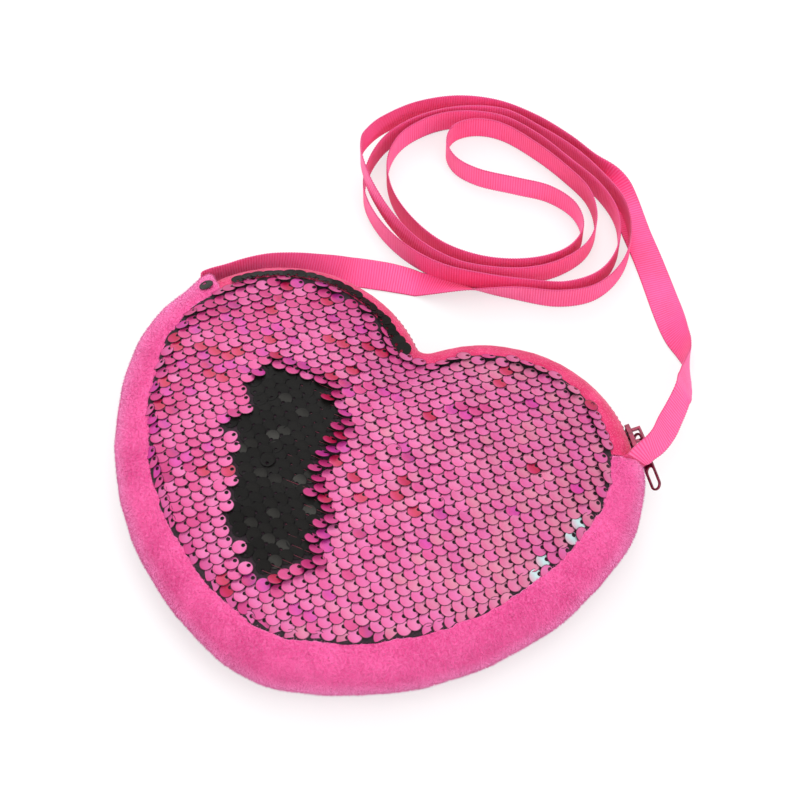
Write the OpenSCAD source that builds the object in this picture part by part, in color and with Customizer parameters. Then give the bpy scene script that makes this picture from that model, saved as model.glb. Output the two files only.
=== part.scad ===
// Heart shaped purse with a front of two-sided sequins, lying on its back.
// X runs across the heart, Y from the tip towards the cleft, Z up from the surface it lies on.

/* [Heart outline] */
// Radius of the seam line round each lobe
lobe_r = 39.5; // [37:0.5:42]
// Distance of each lobe's centre from the middle line
lobe_x = 36.5; // [35:0.5:38]
// Distance from the lobe centres down to the centre of the rounded tip
heart_drop = 47.9; // [44:0.1:52]
// Radius of the long side curves
side_r = 92.5; // [88:0.5:100]
// Radius of the rounded tip
tip_r = 33; // [30:0.5:36]
// Radius of the hollow between the lobes
cleft_r = 12; // [11:0.5:14]

/* [Plush edge] */
// Radius of the half-round plush edge, which is half the bag's thickness
band_r = 11; // [10:0.5:12.5]
// Thickness of the plush with its pile
band_wall = 1.8; // [1.4:0.1:2.2]
// Depth of the folded hem at each end of the plush edge
hem_depth = 4; // [3:0.5:5]
// Angle round the right lobe at which the plush edge ends
right_end_deg = 28; // [24:1:29]
// Angle round the left lobe at which the plush edge ends
left_end_deg = 33; // [28:1:34]

/* [Panels] */
// Thickness of the plush back panel
back_t = 1.6; // [1.2:0.1:2]
// Thickness of the cloth that carries the sequins
backing_t = 0.8; // [0.5:0.1:1]
// Thickness of the lining
lining_t = 0.5; // [0.3:0.1:0.7]
// Height by which the filled front rises above its seam
dome_h = 5.5; // [3:0.5:7]

/* [Zip] */
// Radius of the rounded section that the two tapes make
zip_r = 10.7; // [10.3:0.1:10.8]
// How far the zip bulges past the seam line
zip_bulge = 8.5; // [8.2:0.1:8.8]
// Thickness of the tape
tape_t = 0.6; // [0.4:0.1:0.7]
// Pitch of the teeth along one row
tooth_pitch = 2; // [1.9:0.1:2.4]
// Width of one tooth along the zip
tooth_w = 0.7; // [0.5:0.05:0.75]
// Depth of one tooth through the zip
tooth_depth = 1; // [0.8:0.1:1.1]
// Reach of a tooth from the middle of the zip to its tape
tooth_reach = 2.15; // [1.9:0.05:2.3]
// Distance that a tooth goes past the middle between its neighbours
tooth_mesh = 0.7; // [0.4:0.1:0.9]

/* [Slider and pull] */
// Length of the slider along the zip
slider_len = 8; // [7.6:0.1:8.4]
// Width of the slider's outer plate
slider_w = 8; // [7:0.2:8.2]
// Thickness of the slider's plates
slider_plate_t = 1.1; // [0.8:0.1:1.2]
// Width of the crown that holds the pull
crown_w = 1.2; // [1:0.1:1.3]
// Thickness of the crown's bar
crown_t = 0.8; // [0.6:0.1:1]
// Length of the pull from its pivot to its end
pull_len = 20.7; // [18:0.1:21]
// Width of the pull
pull_w = 4.2; // [4:0.1:4.4]
// Thickness of the pull
pull_t = 0.8; // [0.6:0.1:1]
// Width of the metal round the pull's two eyes
pull_rim = 0.7; // [0.6:0.1:0.9]
// Angle by which the pull has rolled outwards about its own length
pull_roll_deg = 35; // [20:1:38]

/* [Strap] */
// Width of the ribbon
strap_w = 10; // [8:0.5:10]
// Thickness of the ribbon
strap_t = 0.5; // [0.4:0.05:0.6]
// Length of each ribbon end sewn inside the bag
tail_len = 11.6; // [9:0.2:13]

/* [Sequins] */
// Diameter of a sequin
sequin_d = 4.8; // [4.4:0.1:4.8]
// Thickness of a sequin
sequin_t = 0.12; // [0.08:0.01:0.14]
// Pitch of the sequins along a row
sequin_pitch = 4.88; // [4.86:0.02:5.2]
// Step from one row to the next
row_step = 2.71; // [2.65:0.01:2.9]
// Tilt of a sequin on the row below it
sequin_tilt = 5.3; // [5:0.1:6]
// Distance of a sequin's hole from its centre
hole_offset = 1.44; // [1.2:0.02:1.6]
// Diameter of the hole that the thread goes through
hole_d = 0.9; // [0.7:0.1:1.1]

/* [Sewing] */
// Length of one stitch
stitch_len = 2.4; // [2:0.1:2.8]
// Pitch of the stitches
stitch_pitch = 3.2; // [3:0.1:4]
// Radius of the sewing thread
thread_r = 0.25; // [0.2:0.01:0.3]

/* [Hidden] */

// Clearances and small fits
seam_gap = 0.2;
lining_gap = 0.1;
tooth_gap = 0.04;
slide_gap = 0.4;
crown_gap = 0.25;
sequin_gap = 0.15;
tail_gap = 0.1;

// Angles of facets, fine on walls and coarser on the domed panels
fine_step = 3;
edge_step = 6;
dome_step = 5;
dome_rings = 7;
dome_power_share = 2.4;

// Centres of the arcs of the seam line, on the right half
lobe_y = (heart_drop + tip_r + band_r - lobe_r - zip_bulge) / 2;
lobe_c = [lobe_x, lobe_y];
tip_c = [0, lobe_y - heart_drop];
cleft_c = [0, lobe_y + sqrt(pow(lobe_r + cleft_r, 2) - lobe_x * lobe_x)];
lobe_tip = norm(tip_c - lobe_c);
lobe_tip_dir = (tip_c - lobe_c) / lobe_tip;
side_to_lobe = side_r - lobe_r;
side_to_tip = side_r - tip_r;
side_along = (side_to_lobe * side_to_lobe - side_to_tip * side_to_tip + lobe_tip * lobe_tip) / (2 * lobe_tip);
side_across = sqrt(side_to_lobe * side_to_lobe - side_along * side_along);
side_c = lobe_c + side_along * lobe_tip_dir + side_across * [lobe_tip_dir[1], -lobe_tip_dir[0]];

// Angles at which one arc passes into the next
side_deg = atan2(lobe_c[1] - side_c[1], lobe_c[0] - side_c[0]);
tip_deg = atan2(tip_c[1] - side_c[1], tip_c[0] - side_c[0]);
cleft_deg = atan2(cleft_c[1] - lobe_c[1], -lobe_x);

// Heights and insets that several pieces share
mid_z = band_r;
seam_z = 2 * band_r;
zip_inset = zip_r - zip_bulge;
tape_to_deg = acos(zip_inset / zip_r);
tape_from_deg = asin((tooth_reach + tooth_gap) / (zip_r - tape_t));
tooth_x = zip_bulge - tooth_depth / 2;
tooth_line_r = lobe_r + tooth_x;
cleft_line_r = cleft_r - tooth_x;

// Angles round a lobe, worked out from lengths along the zip
function lobe_angle(length) = length / tooth_line_r * 180 / PI;
hem_deg = lobe_angle(band_wall);
hem_step_deg = lobe_angle(lining_gap);
tail_deg = lobe_angle(strap_t + 2 * tail_gap);
end_allowance = 4.2;
stop_len = 1;
stop_gap = 0.75;
bridge_len = 1.6;
right_tape_deg = right_end_deg + tail_deg + lobe_angle(2 * tail_gap);
left_tape_deg = left_end_deg + tail_deg + lobe_angle(2 * tail_gap);
top_stop_deg = right_tape_deg + lobe_angle(end_allowance);
nose_deg = top_stop_deg + lobe_angle(stop_len + stop_gap);
heel_deg = nose_deg + lobe_angle(slider_len);
right_teeth_deg = nose_deg + lobe_angle(bridge_len + slide_gap);
bottom_stop_len = 2;
bottom_stop_deg = left_tape_deg + lobe_angle(end_allowance);
left_teeth_deg = bottom_stop_deg + lobe_angle(bottom_stop_len + slide_gap);

// Lengths of the three stretches of the tooth line
right_len = tooth_line_r * (cleft_deg - right_teeth_deg) * PI / 180;
cleft_len = cleft_line_r * (2 * cleft_deg - 180) * PI / 180;
left_len = tooth_line_r * (cleft_deg - left_teeth_deg) * PI / 180;
tooth_count = floor((right_len + cleft_len + left_len) / tooth_pitch);
first_tooth_share = 0.25;

// Slider, crown and pull, in distances outside the seam line
inner_plate_share = 0.9;
inner_plate_w = slider_w * inner_plate_share;
tape_inside_x = sqrt(pow(zip_r - tape_t, 2) - inner_plate_w * inner_plate_w / 4) - zip_inset;
outer_plate_x = zip_bulge + slide_gap;
outer_plate_end_x = outer_plate_x + slider_plate_t;
inner_plate_end_x = min(zip_bulge - tooth_depth, tape_inside_x) - slide_gap;
inner_plate_x = inner_plate_end_x - slider_plate_t;
bridge_w = 1.2;
flange_w = 0.7;
flange_drop = 0.5;
pull_bar_r = pull_t / 2;
eye_half_w = pull_w / 2 - pull_rim;
eye_at_crown = crown_w / 2 / cos(pull_roll_deg) + pull_bar_r * tan(pull_roll_deg);
eye_round = eye_half_w - sqrt(eye_half_w * eye_half_w - eye_at_crown * eye_at_crown);
function rolled_depth(across) = across * sin(pull_roll_deg) + pull_bar_r * cos(pull_roll_deg);
bar_reach = norm([pull_bar_r + eye_round, rolled_depth(eye_at_crown)]);
pivot_x = outer_plate_end_x + max(bar_reach, rolled_depth(pull_w / 2)) + crown_gap;
crown_in_x = pivot_x + bar_reach + crown_gap;
crown_out_x = crown_in_x + crown_t;
crown_post = 0.8;
crown_setback = 3;
crown_front_deg = nose_deg + lobe_angle(crown_setback);
crown_back_deg = heel_deg - lobe_angle(crown_gap);
pivot_deg = crown_back_deg - lobe_angle(crown_post + crown_gap + bar_reach);
pull_lean_deg = 2;
pull_rest_deg = pivot_deg - 90 - pull_lean_deg;
pivot = lobe_c + (lobe_r + pivot_x) * [cos(pivot_deg), sin(pivot_deg)];
upper_eye_len = 5.2;
waist_w = 2.4;
plate_from_share = 0.41;
lower_eye_share = 0.61;

// Where the ribbon leaves the seam between the plush edge and the tapes
right_exit_deg = 40;
left_exit_deg = 0;
exit_inset = 0.4;
thread_depth_share = 0.75;
exit_reach = band_r - exit_inset;

// Sequins stand off the cloth by their own tilt
tilt_rise = tan(sequin_tilt);
sequin_lift = sequin_d / 2 * tilt_rise + sequin_t / 2 + sequin_gap;
turned_rise = 0.7;
flip_rise = 0.7;
turned_lift = sequin_lift + turned_rise;
edge_margin = 1;
fringe_depth = 3.4;
fringe_from_deg = 50;
fringe_to_deg = 140;
row_count = ceil((lobe_y + lobe_r - tip_c[1] + tip_r) / row_step);
column_count = ceil((lobe_x + lobe_r) / sequin_pitch);

// The black patch, as shares of the heart's half width
patch_shares = [
    [-0.54, 0.30], [-0.40, 0.31], [-0.25, 0.28], [-0.15, 0.20], [-0.16, 0.08], [-0.14, -0.01],
    [-0.11, -0.15], [-0.03, -0.24], [-0.01, -0.34], [0.01, -0.43], [0, -0.51], [-0.15, -0.59],
    [-0.21, -0.55], [-0.30, -0.48], [-0.38, -0.44], [-0.35, -0.38], [-0.42, -0.27], [-0.44, -0.15],
    [-0.49, -0.08], [-0.58, -0.01], [-0.49, 0.07], [-0.54, 0.17]
];
patch = [for (p = patch_shares) (lobe_x + lobe_r) * p];
// Column and row of the four sequins that turn over
flip_cells = [[2, 4], [6, 0], [3, -9], [-5, -4]];

// The ribbon's route from the right end of the zip to the left one: x, y, lift off the surface, lean
strap_route = [
    [78.4, 44.7, 13.8, 40], [80.4, 48.9, 14, 28], [82.2, 53.8, 14.2, 35], [82.8, 59.7, 14.1, 43],
    [83, 64.5, 13.8, 40], [83.1, 69.3, 13.7, 37], [82.9, 74, 13.4, 34], [82.2, 79, 10.1, 30],
    [81.4, 83.6, 7.2, 24], [80.6, 88, 4.4, 14], [78.9, 93, 1.6, -4], [75.6, 98, 0.3, -24],
    [70.8, 103.4, 0.1, -48], [63.4, 113.4, 0.1, -78], [54, 125.5, 0.1, -90],
    [44, 137, 0.1, -90], [35.5, 147, 0.1, -80], [29, 152, 0.1, -38], [21.5, 155.6, 0.1, 0],
    [9, 160, 0.1, 0], [-5, 163.2, 0.1, 0], [-20, 163.6, 0.1, 0], [-34, 159.2, 0.3, 0],
    [-45.5, 149.8, 1.5, 0], [-52.5, 137, 4.5, 0], [-54.2, 126, 8.2, 0], [-52.4, 118.6, 10.8, 0],
    [-48.4, 112.6, 10.8, 0], [-42, 106.8, 8, 0], [-32, 101, 4, 0], [-19.5, 96.6, 1.2, 0],
    [-6, 95.2, 0.3, 0], [7, 98, 0.1, 0], [18, 103, 0.1, 0], [26.6, 110.8, 0.1, 0],
    [31.6, 121, 0.1, 0], [30.4, 132, 0.1, 0], [23.5, 141.6, 0.1, 0], [12, 147.6, 0.1, 0],
    [-1, 152.2, 0.1, 0], [-14, 154.8, 0.1, 0], [-23.5, 153, 0.1, 0], [-29.6, 147.4, 0.1, 0],
    [-29.4, 140, 0.1, 0], [-23.5, 134.6, 0.1, 0], [-14, 133.2, 0.1, 0], [-1, 135.2, 0.1, 0],
    [11, 136.8, 0.1, 0], [21.5, 134, 0.1, 0], [27.6, 126.6, 0.1, 0], [27, 117.4, 0.1, 0],
    [21, 109.6, 0.1, 0], [11, 103.4, 0.1, 0], [-1, 100, 0.1, 0], [-14, 100.2, 0.1, 0],
    [-27, 105, 0.1, 0], [-38, 113, 0.1, 0], [-44.8, 124, 0.1, 0], [-45.2, 136, 0.1, 0],
    [-38.5, 147.4, 0.1, 0], [-28.5, 154.6, 0.1, 0], [-15.5, 158, 0.1, 0], [-1.5, 155.9, 0.1, 0],
    [13, 150.6, 0.1, 0], [26.5, 145, 0.1, 0], [36.5, 136.4, 0.1, 0], [41.4, 124, 0.1, 0],
    [39.8, 111.8, 0.1, 0], [31.4, 102.8, 0.1, 0], [19, 98, 0.1, 0], [4.5, 94, 0.1, 0],
    [-10, 91.8, 0.1, 0], [-24, 93.8, 0.1, 0], [-37, 99.8, 0.1, 0], [-46.8, 109, 0.1, 0],
    [-50.6, 121, 0.1, 0], [-49.4, 134, 0.1, 0], [-42.4, 146, 0.1, 0], [-31, 155.6, 0.1, 0],
    [-16.5, 161, 0.1, 0], [-2, 159.2, 0.1, 0], [12, 155.8, 0.1, 0], [25, 150, 0.1, 0],
    [36.6, 142.4, 0.1, 0], [43.6, 131, 0.1, 0], [45.2, 118, 0.1, 0], [40.8, 106, 0.1, 0],
    [30.6, 98.4, 0.1, 0], [17, 94.4, 0.1, 8], [2, 90, 0.1, 36], [-15.6, 86.9, 0.1, 88],
    [-24.6, 84.5, 0.1, 109], [-29.3, 83, 0.1, 117], [-33.8, 81.4, 0.1, 126], [-38.3, 79.3, 0.6, 138],
    [-43.2, 77.3, 1.5, 149], [-48, 75.2, 2.4, 158], [-52.6, 73.1, 3.4, 164], [-57.2, 70.7, 4.4, 169],
    [-61.6, 68.1, 5.1, 172], [-65.6, 64.9, 5.7, 173], [-69.4, 61.4, 6, 174], [-73.4, 57.5, 6, 176],
    [-77.4, 54, 6, 178], [-79.3, 51.7, 6, 180], [-79, 50.2, 6, 180]
];

// Points of an arc, without its last one
function arc(centre, r, from, to, step) =
    let (n = ceil(abs(to - from) / step))
    [for (i = [0 : n - 1]) let (a = from + (to - from) * i / n) centre + r * [cos(a), sin(a)]];

// Right half of the heart, from the tip to the cleft, set out by e from the seam line
function right_half(e, step) = concat(
    arc(tip_c, tip_r + e, -90, tip_deg, step),
    arc(side_c, side_r + e, tip_deg, side_deg, step),
    arc(lobe_c, lobe_r + e, side_deg, cleft_deg, step),
    arc(cleft_c, cleft_r - e, cleft_deg + 180, 270, 2 * step)
);

// The whole heart, set out by e from the seam line
function heart(e, step) =
    let (right = right_half(e, step), n = len(right))
    concat(right, [cleft_c - [0, cleft_r - e]], [for (i = [n - 1 : -1 : 1]) [-right[i][0], right[i][1]]]);

// Distance from the middle of the heart to its seam line at an angle, on the right half
function to_circle(centre, r, a, sign) =
    let (along = centre[0] * cos(a) + centre[1] * sin(a))
    along + sign * sqrt(max(0, along * along - centre * centre + r * r));
tip_join = tip_c + tip_r * [cos(tip_deg), sin(tip_deg)];
side_join = lobe_c + lobe_r * [cos(side_deg), sin(side_deg)];
cleft_join = lobe_c + lobe_r * [cos(cleft_deg), sin(cleft_deg)];
tip_join_deg = atan2(tip_join[1], tip_join[0]);
side_join_deg = atan2(side_join[1], side_join[0]);
cleft_join_deg = atan2(cleft_join[1], cleft_join[0]);
function seam_reach(a) =
    a < tip_join_deg ? to_circle(tip_c, tip_r, a, 1) :
    a < side_join_deg ? to_circle(side_c, side_r, a, 1) :
    a < cleft_join_deg ? to_circle(lobe_c, lobe_r, a, 1) :
    to_circle(cleft_c, cleft_r, a, -1);

// Share of the way from the middle to the seam line, and the front cloth's height there
nearly_nothing = 0.04;
function bearing(p) = atan2(p[1], max(abs(p[0]), nearly_nothing));
function way_out(p) = norm(p) / seam_reach(bearing(p));
function dome_z(s) = seam_z + dome_h * (1 - pow(min(s, 1), dome_power_share));
function cloth_z(p) = dome_z(way_out(p));

// A sequin rests on the cloth at its middle or, across the seam, on the two sides of its rim
across = [sequin_d / 2, 0];
along = [0, sequin_d / 2];
function slope(p, half) = (cloth_z(p + half) - cloth_z(p - half)) / (2 * norm(half));
function resting_z(p) = max([cloth_z(p), for (h = [across, along]) (cloth_z(p + h) + cloth_z(p - h)) / 2]);

// Runs a section along a stretch of a lobe; x is the distance outside the seam line
module along_lobe(from, to) {
    translate(lobe_c) rotate_extrude(start = from, angle = to - from, $fn = 120)
        translate([lobe_r, 0]) children();
}

// Stations along the edge, each with its arc's centre and radius, its angle, the way out (1 or -1)
// and the radius of the section's inner face
function stations(centre, r, from, to, step, way, r_in) =
    let (n = ceil(abs(to - from) / step))
    [for (i = [0 : n]) [centre[0], centre[1], r, from + (to - from) * i / n, way, r_in]];
function mirrored(list) = [for (i = [len(list) - 1 : -1 : 0])
    let (st = list[i]) [-st[0], st[1], st[2], 180 - st[3], st[4], st[5]]];
function tail_of(list) = [for (i = [1 : len(list) - 1]) list[i]];
function station_point(st, x, z) =
    let (r = st[2] + st[4] * x)
    [st[0] + r * cos(st[3]), st[1] + r * sin(st[3]), z];

// One closed band swept along the stations; its section is a stretch of a round wall whose centre
// lies inset inside the seam line at mid height, from one angle above the middle to another
module swept_band(list, r_out, inset, from, to, facets) {
    turns = [for (i = [0 : facets]) from + (to - from) * i / facets];
    m = len(turns);
    ring = 2 * m;
    last = (len(list) - 1) * ring;
    function quad(a, b, c, d) = [[a, b, c], [a, c, d]];
    polyhedron(
        points = [
            for (st = list) each concat(
                [for (t = turns) station_point(st, r_out * cos(t) - inset, mid_z + r_out * sin(t))],
                [for (t = turns) station_point(st, st[5] * cos(t) - inset, mid_z + st[5] * sin(t))]
            )
        ],
        faces = [
            for (k = [0 : len(list) - 2]) let (a = k * ring, b = a + ring) each concat(
                [for (i = [0 : m - 2]) each quad(a + i, b + i, b + i + 1, a + i + 1)],
                [for (i = [0 : m - 2]) each quad(a + m + i + 1, b + m + i + 1, b + m + i, a + m + i)],
                quad(a + m - 1, b + m - 1, b + ring - 1, a + ring - 1),
                quad(a + m, b + m, b, a)
            ),
            for (i = [0 : m - 2]) each quad(i, i + 1, m + i + 1, m + i),
            for (i = [0 : m - 2]) each quad(last + m + i, last + m + i + 1, last + i + 1, last + i)
        ]
    );
}

// The stations of the plush edge, from the right lobe round the tip to the left lobe
function edge_half(end_deg, r_in) = concat(
    stations(lobe_c, lobe_r, end_deg, side_deg, edge_step, 1, r_in),
    tail_of(stations(side_c, side_r, side_deg, tip_deg, edge_step, 1, r_in)),
    tail_of(stations(tip_c, tip_r, tip_deg, -90, edge_step, 1, r_in))
);
function edge_run(right_to, left_to, r_in) =
    concat(edge_half(right_to, r_in), tail_of(mirrored(edge_half(left_to, r_in))));
function hem_stations(end_deg) =
    stations(lobe_c, lobe_r, end_deg, end_deg - hem_deg, edge_step, 1, band_r - hem_depth);

// The stations of the zip, from the right lobe through the cleft to the left lobe
function zip_half(from_deg, r_in) = concat(
    stations(lobe_c, lobe_r, from_deg, cleft_deg, edge_step, 1, r_in),
    tail_of(stations(cleft_c, cleft_r, cleft_deg + 180, 270, 2 * edge_step, -1, r_in))
);
module tape(side) {
    r_in = zip_r - tape_t;
    run = concat(zip_half(right_tape_deg, r_in), tail_of(mirrored(zip_half(left_tape_deg, r_in))));
    from = side > 0 ? tape_from_deg : -tape_to_deg;
    to = side > 0 ? tape_to_deg : -tape_from_deg;
    swept_band(run, zip_r, zip_inset, from, to, 6);
}

// Places a piece on the tooth line at a length from the slider's end; +X points out of the bag
module at_zip(s) {
    if (s < right_len)
        translate(lobe_c) rotate(right_teeth_deg + lobe_angle(s))
            translate([tooth_line_r, 0, mid_z]) children();
    else if (s < right_len + cleft_len)
        translate(cleft_c) rotate(cleft_deg + 180 - (s - right_len) / cleft_line_r * 180 / PI)
            translate([cleft_line_r, 0, mid_z]) rotate(180) children();
    else
        mirror([1, 0, 0]) translate(lobe_c) rotate(cleft_deg - lobe_angle(s - right_len - cleft_len))
            translate([tooth_line_r, 0, mid_z]) children();
}
module tooth(side) {
    low = side > 0 ? -tooth_mesh : -tooth_reach;
    translate([-tooth_depth / 2, -tooth_w / 2, low]) cube([tooth_depth, tooth_w, tooth_reach + tooth_mesh]);
}
module tooth_row(side, first) {
    for (i = [0 : tooth_count - 2]) at_zip((i + first) * tooth_pitch) tooth(side);
}

// Block on the tooth line of a lobe, between two heights from the middle
module zip_block(at_deg, length, low, high) {
    along_lobe(at_deg, at_deg + lobe_angle(length))
        translate([tooth_x - tooth_depth / 2, mid_z + low]) square([tooth_depth, high - low]);
}

// A flat bar with round ends, lying along X
module stadium(from, to, half_w) {
    translate([from + half_w, 0]) circle(half_w, $fn = 40);
    translate([to - half_w, 0]) circle(half_w, $fn = 40);
    translate([from + half_w, -half_w]) square([to - from - 2 * half_w, 2 * half_w]);
}

// Places a piece on the seam line at a length from the tip, with +Y along the seam
tip_part = tip_r * (90 + tip_deg) * PI / 180;
side_part = side_r * (side_deg - tip_deg) * PI / 180;
lobe_part = lobe_r * (cleft_deg - side_deg) * PI / 180;
cleft_part = cleft_r * (cleft_deg - 90) * PI / 180;
half_seam = tip_part + side_part + lobe_part + cleft_part;
stitch_count = floor(half_seam / stitch_pitch);
module at_seam(s) {
    in_side = s - tip_part;
    in_lobe = in_side - side_part;
    in_cleft = in_lobe - lobe_part;
    if (in_side < 0)
        translate(tip_c) rotate(-90 + s / tip_r * 180 / PI) translate([tip_r, 0]) children();
    else if (in_lobe < 0)
        translate(side_c) rotate(tip_deg + in_side / side_r * 180 / PI) translate([side_r, 0]) children();
    else if (in_cleft < 0)
        translate(lobe_c) rotate(side_deg + in_lobe / lobe_r * 180 / PI) translate([lobe_r, 0]) children();
    else
        translate(cleft_c) rotate(cleft_deg + 180 - in_cleft / cleft_r * 180 / PI)
            translate([cleft_r, 0]) rotate(180) children();
}
module stitch(z) {
    translate([-seam_gap / 2, stitch_len / 2, z]) rotate([90, 0, 0])
        cylinder(h = stitch_len, r = thread_r, $fn = 16);
}
module seam_stitches(z) {
    for (i = [0 : stitch_count - 1]) at_seam((i + 0.5) * stitch_pitch) stitch(z);
    mirror([1, 0, 0]) for (i = [0 : stitch_count - 1]) at_seam((i + 0.5) * stitch_pitch) stitch(z);
}

// A domed sheet under the front, its top lowered by drop from the front's own face
module dome_sheet(drop, t) {
    rim = heart(-seam_gap, dome_step);
    n = len(rim);
    shares = [for (k = [1 : dome_rings]) sin(90 * k / dome_rings)];
    top = [for (s = shares, p = rim) [s * p[0], s * p[1], dome_z(s) - drop]];
    bottom = [for (s = shares, p = rim) [s * p[0], s * p[1], dome_z(s) - drop - t]];
    crown = [[0, 0, dome_z(0) - drop], [0, 0, dome_z(0) - drop - t]];
    base = n * dome_rings;
    function next(i) = (i + 1) % n;
    polyhedron(
        points = concat(top, bottom, crown),
        faces = [
            for (i = [0 : n - 1]) each [[2 * base, next(i), i], [2 * base + 1, base + i, base + next(i)]],
            for (k = [0 : dome_rings - 2], i = [0 : n - 1])
                let (a = k * n + i, b = k * n + next(i))
                each [[a, b, b + n], [a, b + n, a + n]],
            for (k = [0 : dome_rings - 2], i = [0 : n - 1])
                let (a = base + k * n + i, b = base + k * n + next(i))
                each [[a, b + n, b], [a, a + n, b + n]],
            for (i = [0 : n - 1])
                let (a = base - n + i, b = base - n + next(i))
                each [[a, b, b + base], [a, b + base, a + base]]
        ]
    );
}

// The ribbon's section is a flat bar with eight corners; every route point carries one ring
strap_bevel = 0.3 * strap_t;
strap_half = strap_w / 2;
strap_outline = [
    [strap_half, strap_t / 4], [strap_half - strap_bevel, strap_t / 2], [strap_bevel - strap_half, strap_t / 2],
    [-strap_half, strap_t / 4], [-strap_half, -strap_t / 4], [strap_bevel - strap_half, -strap_t / 2],
    [strap_half - strap_bevel, -strap_t / 2], [strap_half, -strap_t / 4]
];
function route_centre(i) =
    let (p = strap_route[i])
    [p[0], p[1], p[2] + strap_half * abs(cos(p[3])) + strap_t / 2 * abs(sin(p[3]))];
function unit(v) = v / norm(v);
last_ring = len(strap_route) - 1;
right_tail_dir = [
    cos(right_exit_deg) * cos(right_end_deg), cos(right_exit_deg) * sin(right_end_deg), sin(right_exit_deg)
];
left_tail_dir = [cos(left_end_deg), -sin(left_end_deg), 0];
function route_dir(i) =
    i == 0 ? right_tail_dir :
    i == last_ring ? left_tail_dir :
    unit(unit(route_centre(i + 1) - route_centre(i)) + unit(route_centre(i) - route_centre(i - 1)));
function strap_ring(i) =
    let (
        d = route_dir(i),
        side = i == 0 ? [sin(right_end_deg), -cos(right_end_deg), 0] : unit([-d[1], d[0], 0]),
        lean = strap_route[i][3],
        flat = i == 0 ? unit(cross(side, d)) : unit([0, 0, 1] * cos(lean) + side * sin(lean)),
        wide = unit(flat - (flat * d) * d),
        thick = cross(d, wide)
    )
    [for (q = strap_outline) route_centre(i) + q[0] * wide + q[1] * thick];
// Least gap of the ribbon to itself, on three points of each span that are not near along it
span_shares = [0, 1/3, 2/3];
near_points = 3 * len(span_shares);
span_points = [
    for (i = [0 : last_ring - 1], t = span_shares) (1 - t) * route_centre(i) + t * route_centre(i + 1)
];
function strap_gap() = min([
    for (i = [0 : len(span_points) - 1], j = [i + near_points : 1 : len(span_points) - 1])
        let (d = span_points[j] - span_points[i])
        if (abs(d[0]) + abs(d[1]) < strap_w)
            max(norm([d[0], d[1]]) - strap_t, abs(d[2]) - strap_w)
]);

// A ribbon end that runs from the exit into the bag, in the plane of the plush edge's end
module strap_tail(end_deg, exit_deg) {
    translate([lobe_x, lobe_y, mid_z]) rotate(end_deg) translate([lobe_r, tail_gap, 0])
        rotate([0, -exit_deg, 0]) translate([exit_reach - tail_len, 0, -strap_half])
            cube([tail_len, strap_t, strap_w]);
}

// One sequin at a lattice place; turned ones show their dark side and lie towards +Y
module disc(turned) {
    side = turned ? -1 : 1;
    difference() {
        cylinder(h = sequin_t, r = sequin_d / 2, center = true, $fn = 24);
        translate([0, side * hole_offset]) cylinder(h = 3 * sequin_t, r = hole_d / 2, center = true, $fn = 16);
    }
}
function sequin_centre(cell, turned) = cell_place(cell) + [0, turned ? 2 * hole_offset : 0];
function cell_place(cell) = [(cell[0] + (cell[1] % 2 == 0 ? 0 : 0.5)) * sequin_pitch, cell[1] * row_step];
module sequin(cell, turned, lift) {
    base = cell_place(cell);
    p = sequin_centre(cell, turned);
    turn_y = -atan(slope(base, across));
    rise_y = slope(base, along) + (turned ? tilt_rise : -tilt_rise);
    z = resting_z(base) + slope(base, along) * (p[1] - base[1]);
    translate([p[0], p[1], z + lift]) rotate([atan(rise_y * cos(turn_y)), turn_y, 0]) disc(turned);
}

// Which lattice places hold a sequin, and which of them are turned over
function on_front(p) =
    let (hole = p + [0, hole_offset])
    seam_reach(bearing(hole)) - norm(hole) > edge_margin;
function crossings(p) = [
    for (i = [0 : len(patch) - 1])
        let (a = patch[i], b = patch[(i + 1) % len(patch)])
        if ((a[1] > p[1]) != (b[1] > p[1]) && p[0] < a[0] + (b[0] - a[0]) * (p[1] - a[1]) / (b[1] - a[1])) 1
];
function in_patch(p) = len(crossings(p)) % 2 == 1;
function in_fringe(p) =
    let (q = p - [-lobe_x, lobe_y], a = atan2(q[1], q[0]))
    p[0] < -cleft_r / 2 && a > fringe_from_deg && a < fringe_to_deg && lobe_r - norm(q) < fringe_depth;
function is_turned(p) = in_patch(p) || in_fringe(p);
function is_flip(cell) = len([for (f = flip_cells) if (f == cell) 1]) > 0;
cells = [
    for (j = [-row_count : row_count], i = [-column_count : column_count])
        if (on_front(cell_place([i, j])) && !is_flip([i, j])) [i, j]
];
module field(turned) {
    for (cell = cells) if (is_turned(cell_place(cell)) == turned)
        sequin(cell, turned, turned ? turned_lift : sequin_lift);
}
module flip_sequin(k) {
    turned = is_turned(cell_place(flip_cells[k]));
    lift = (turned ? turned_lift : sequin_lift) + flip_rise;
    color(turned ? "black" : "hotpink") sequin(flip_cells[k], turned, lift);
}

module back_panel() { color("hotpink") linear_extrude(back_t) polygon(heart(-seam_gap, fine_step)); }

module back_lining() {
    color("pink") translate([0, 0, back_t + lining_gap]) linear_extrude(lining_t)
        polygon(heart(-seam_gap, fine_step));
}

module front_backing() { color("crimson") dome_sheet(0, backing_t); }

module front_lining() { color("pink") dome_sheet(backing_t + lining_gap, lining_t); }

module gusset_band() {
    right_to = right_end_deg - hem_deg;
    left_to = left_end_deg - hem_deg;
    run = concat(
        hem_stations(right_end_deg),
        edge_run(right_to - hem_step_deg, left_to - hem_step_deg, band_r - band_wall),
        mirrored(hem_stations(left_end_deg))
    );
    color("hotpink") swept_band(run, band_r, 0, -90, 90, 12);
}

module gusset_lining() {
    r_out = band_r - band_wall - lining_gap;
    end_gap_deg = hem_deg + lobe_angle(lining_gap) + hem_step_deg;
    run = edge_run(right_end_deg - end_gap_deg, left_end_deg - end_gap_deg, r_out - lining_t);
    color("pink") swept_band(run, r_out, 0, -90, 90, 12);
}

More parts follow.
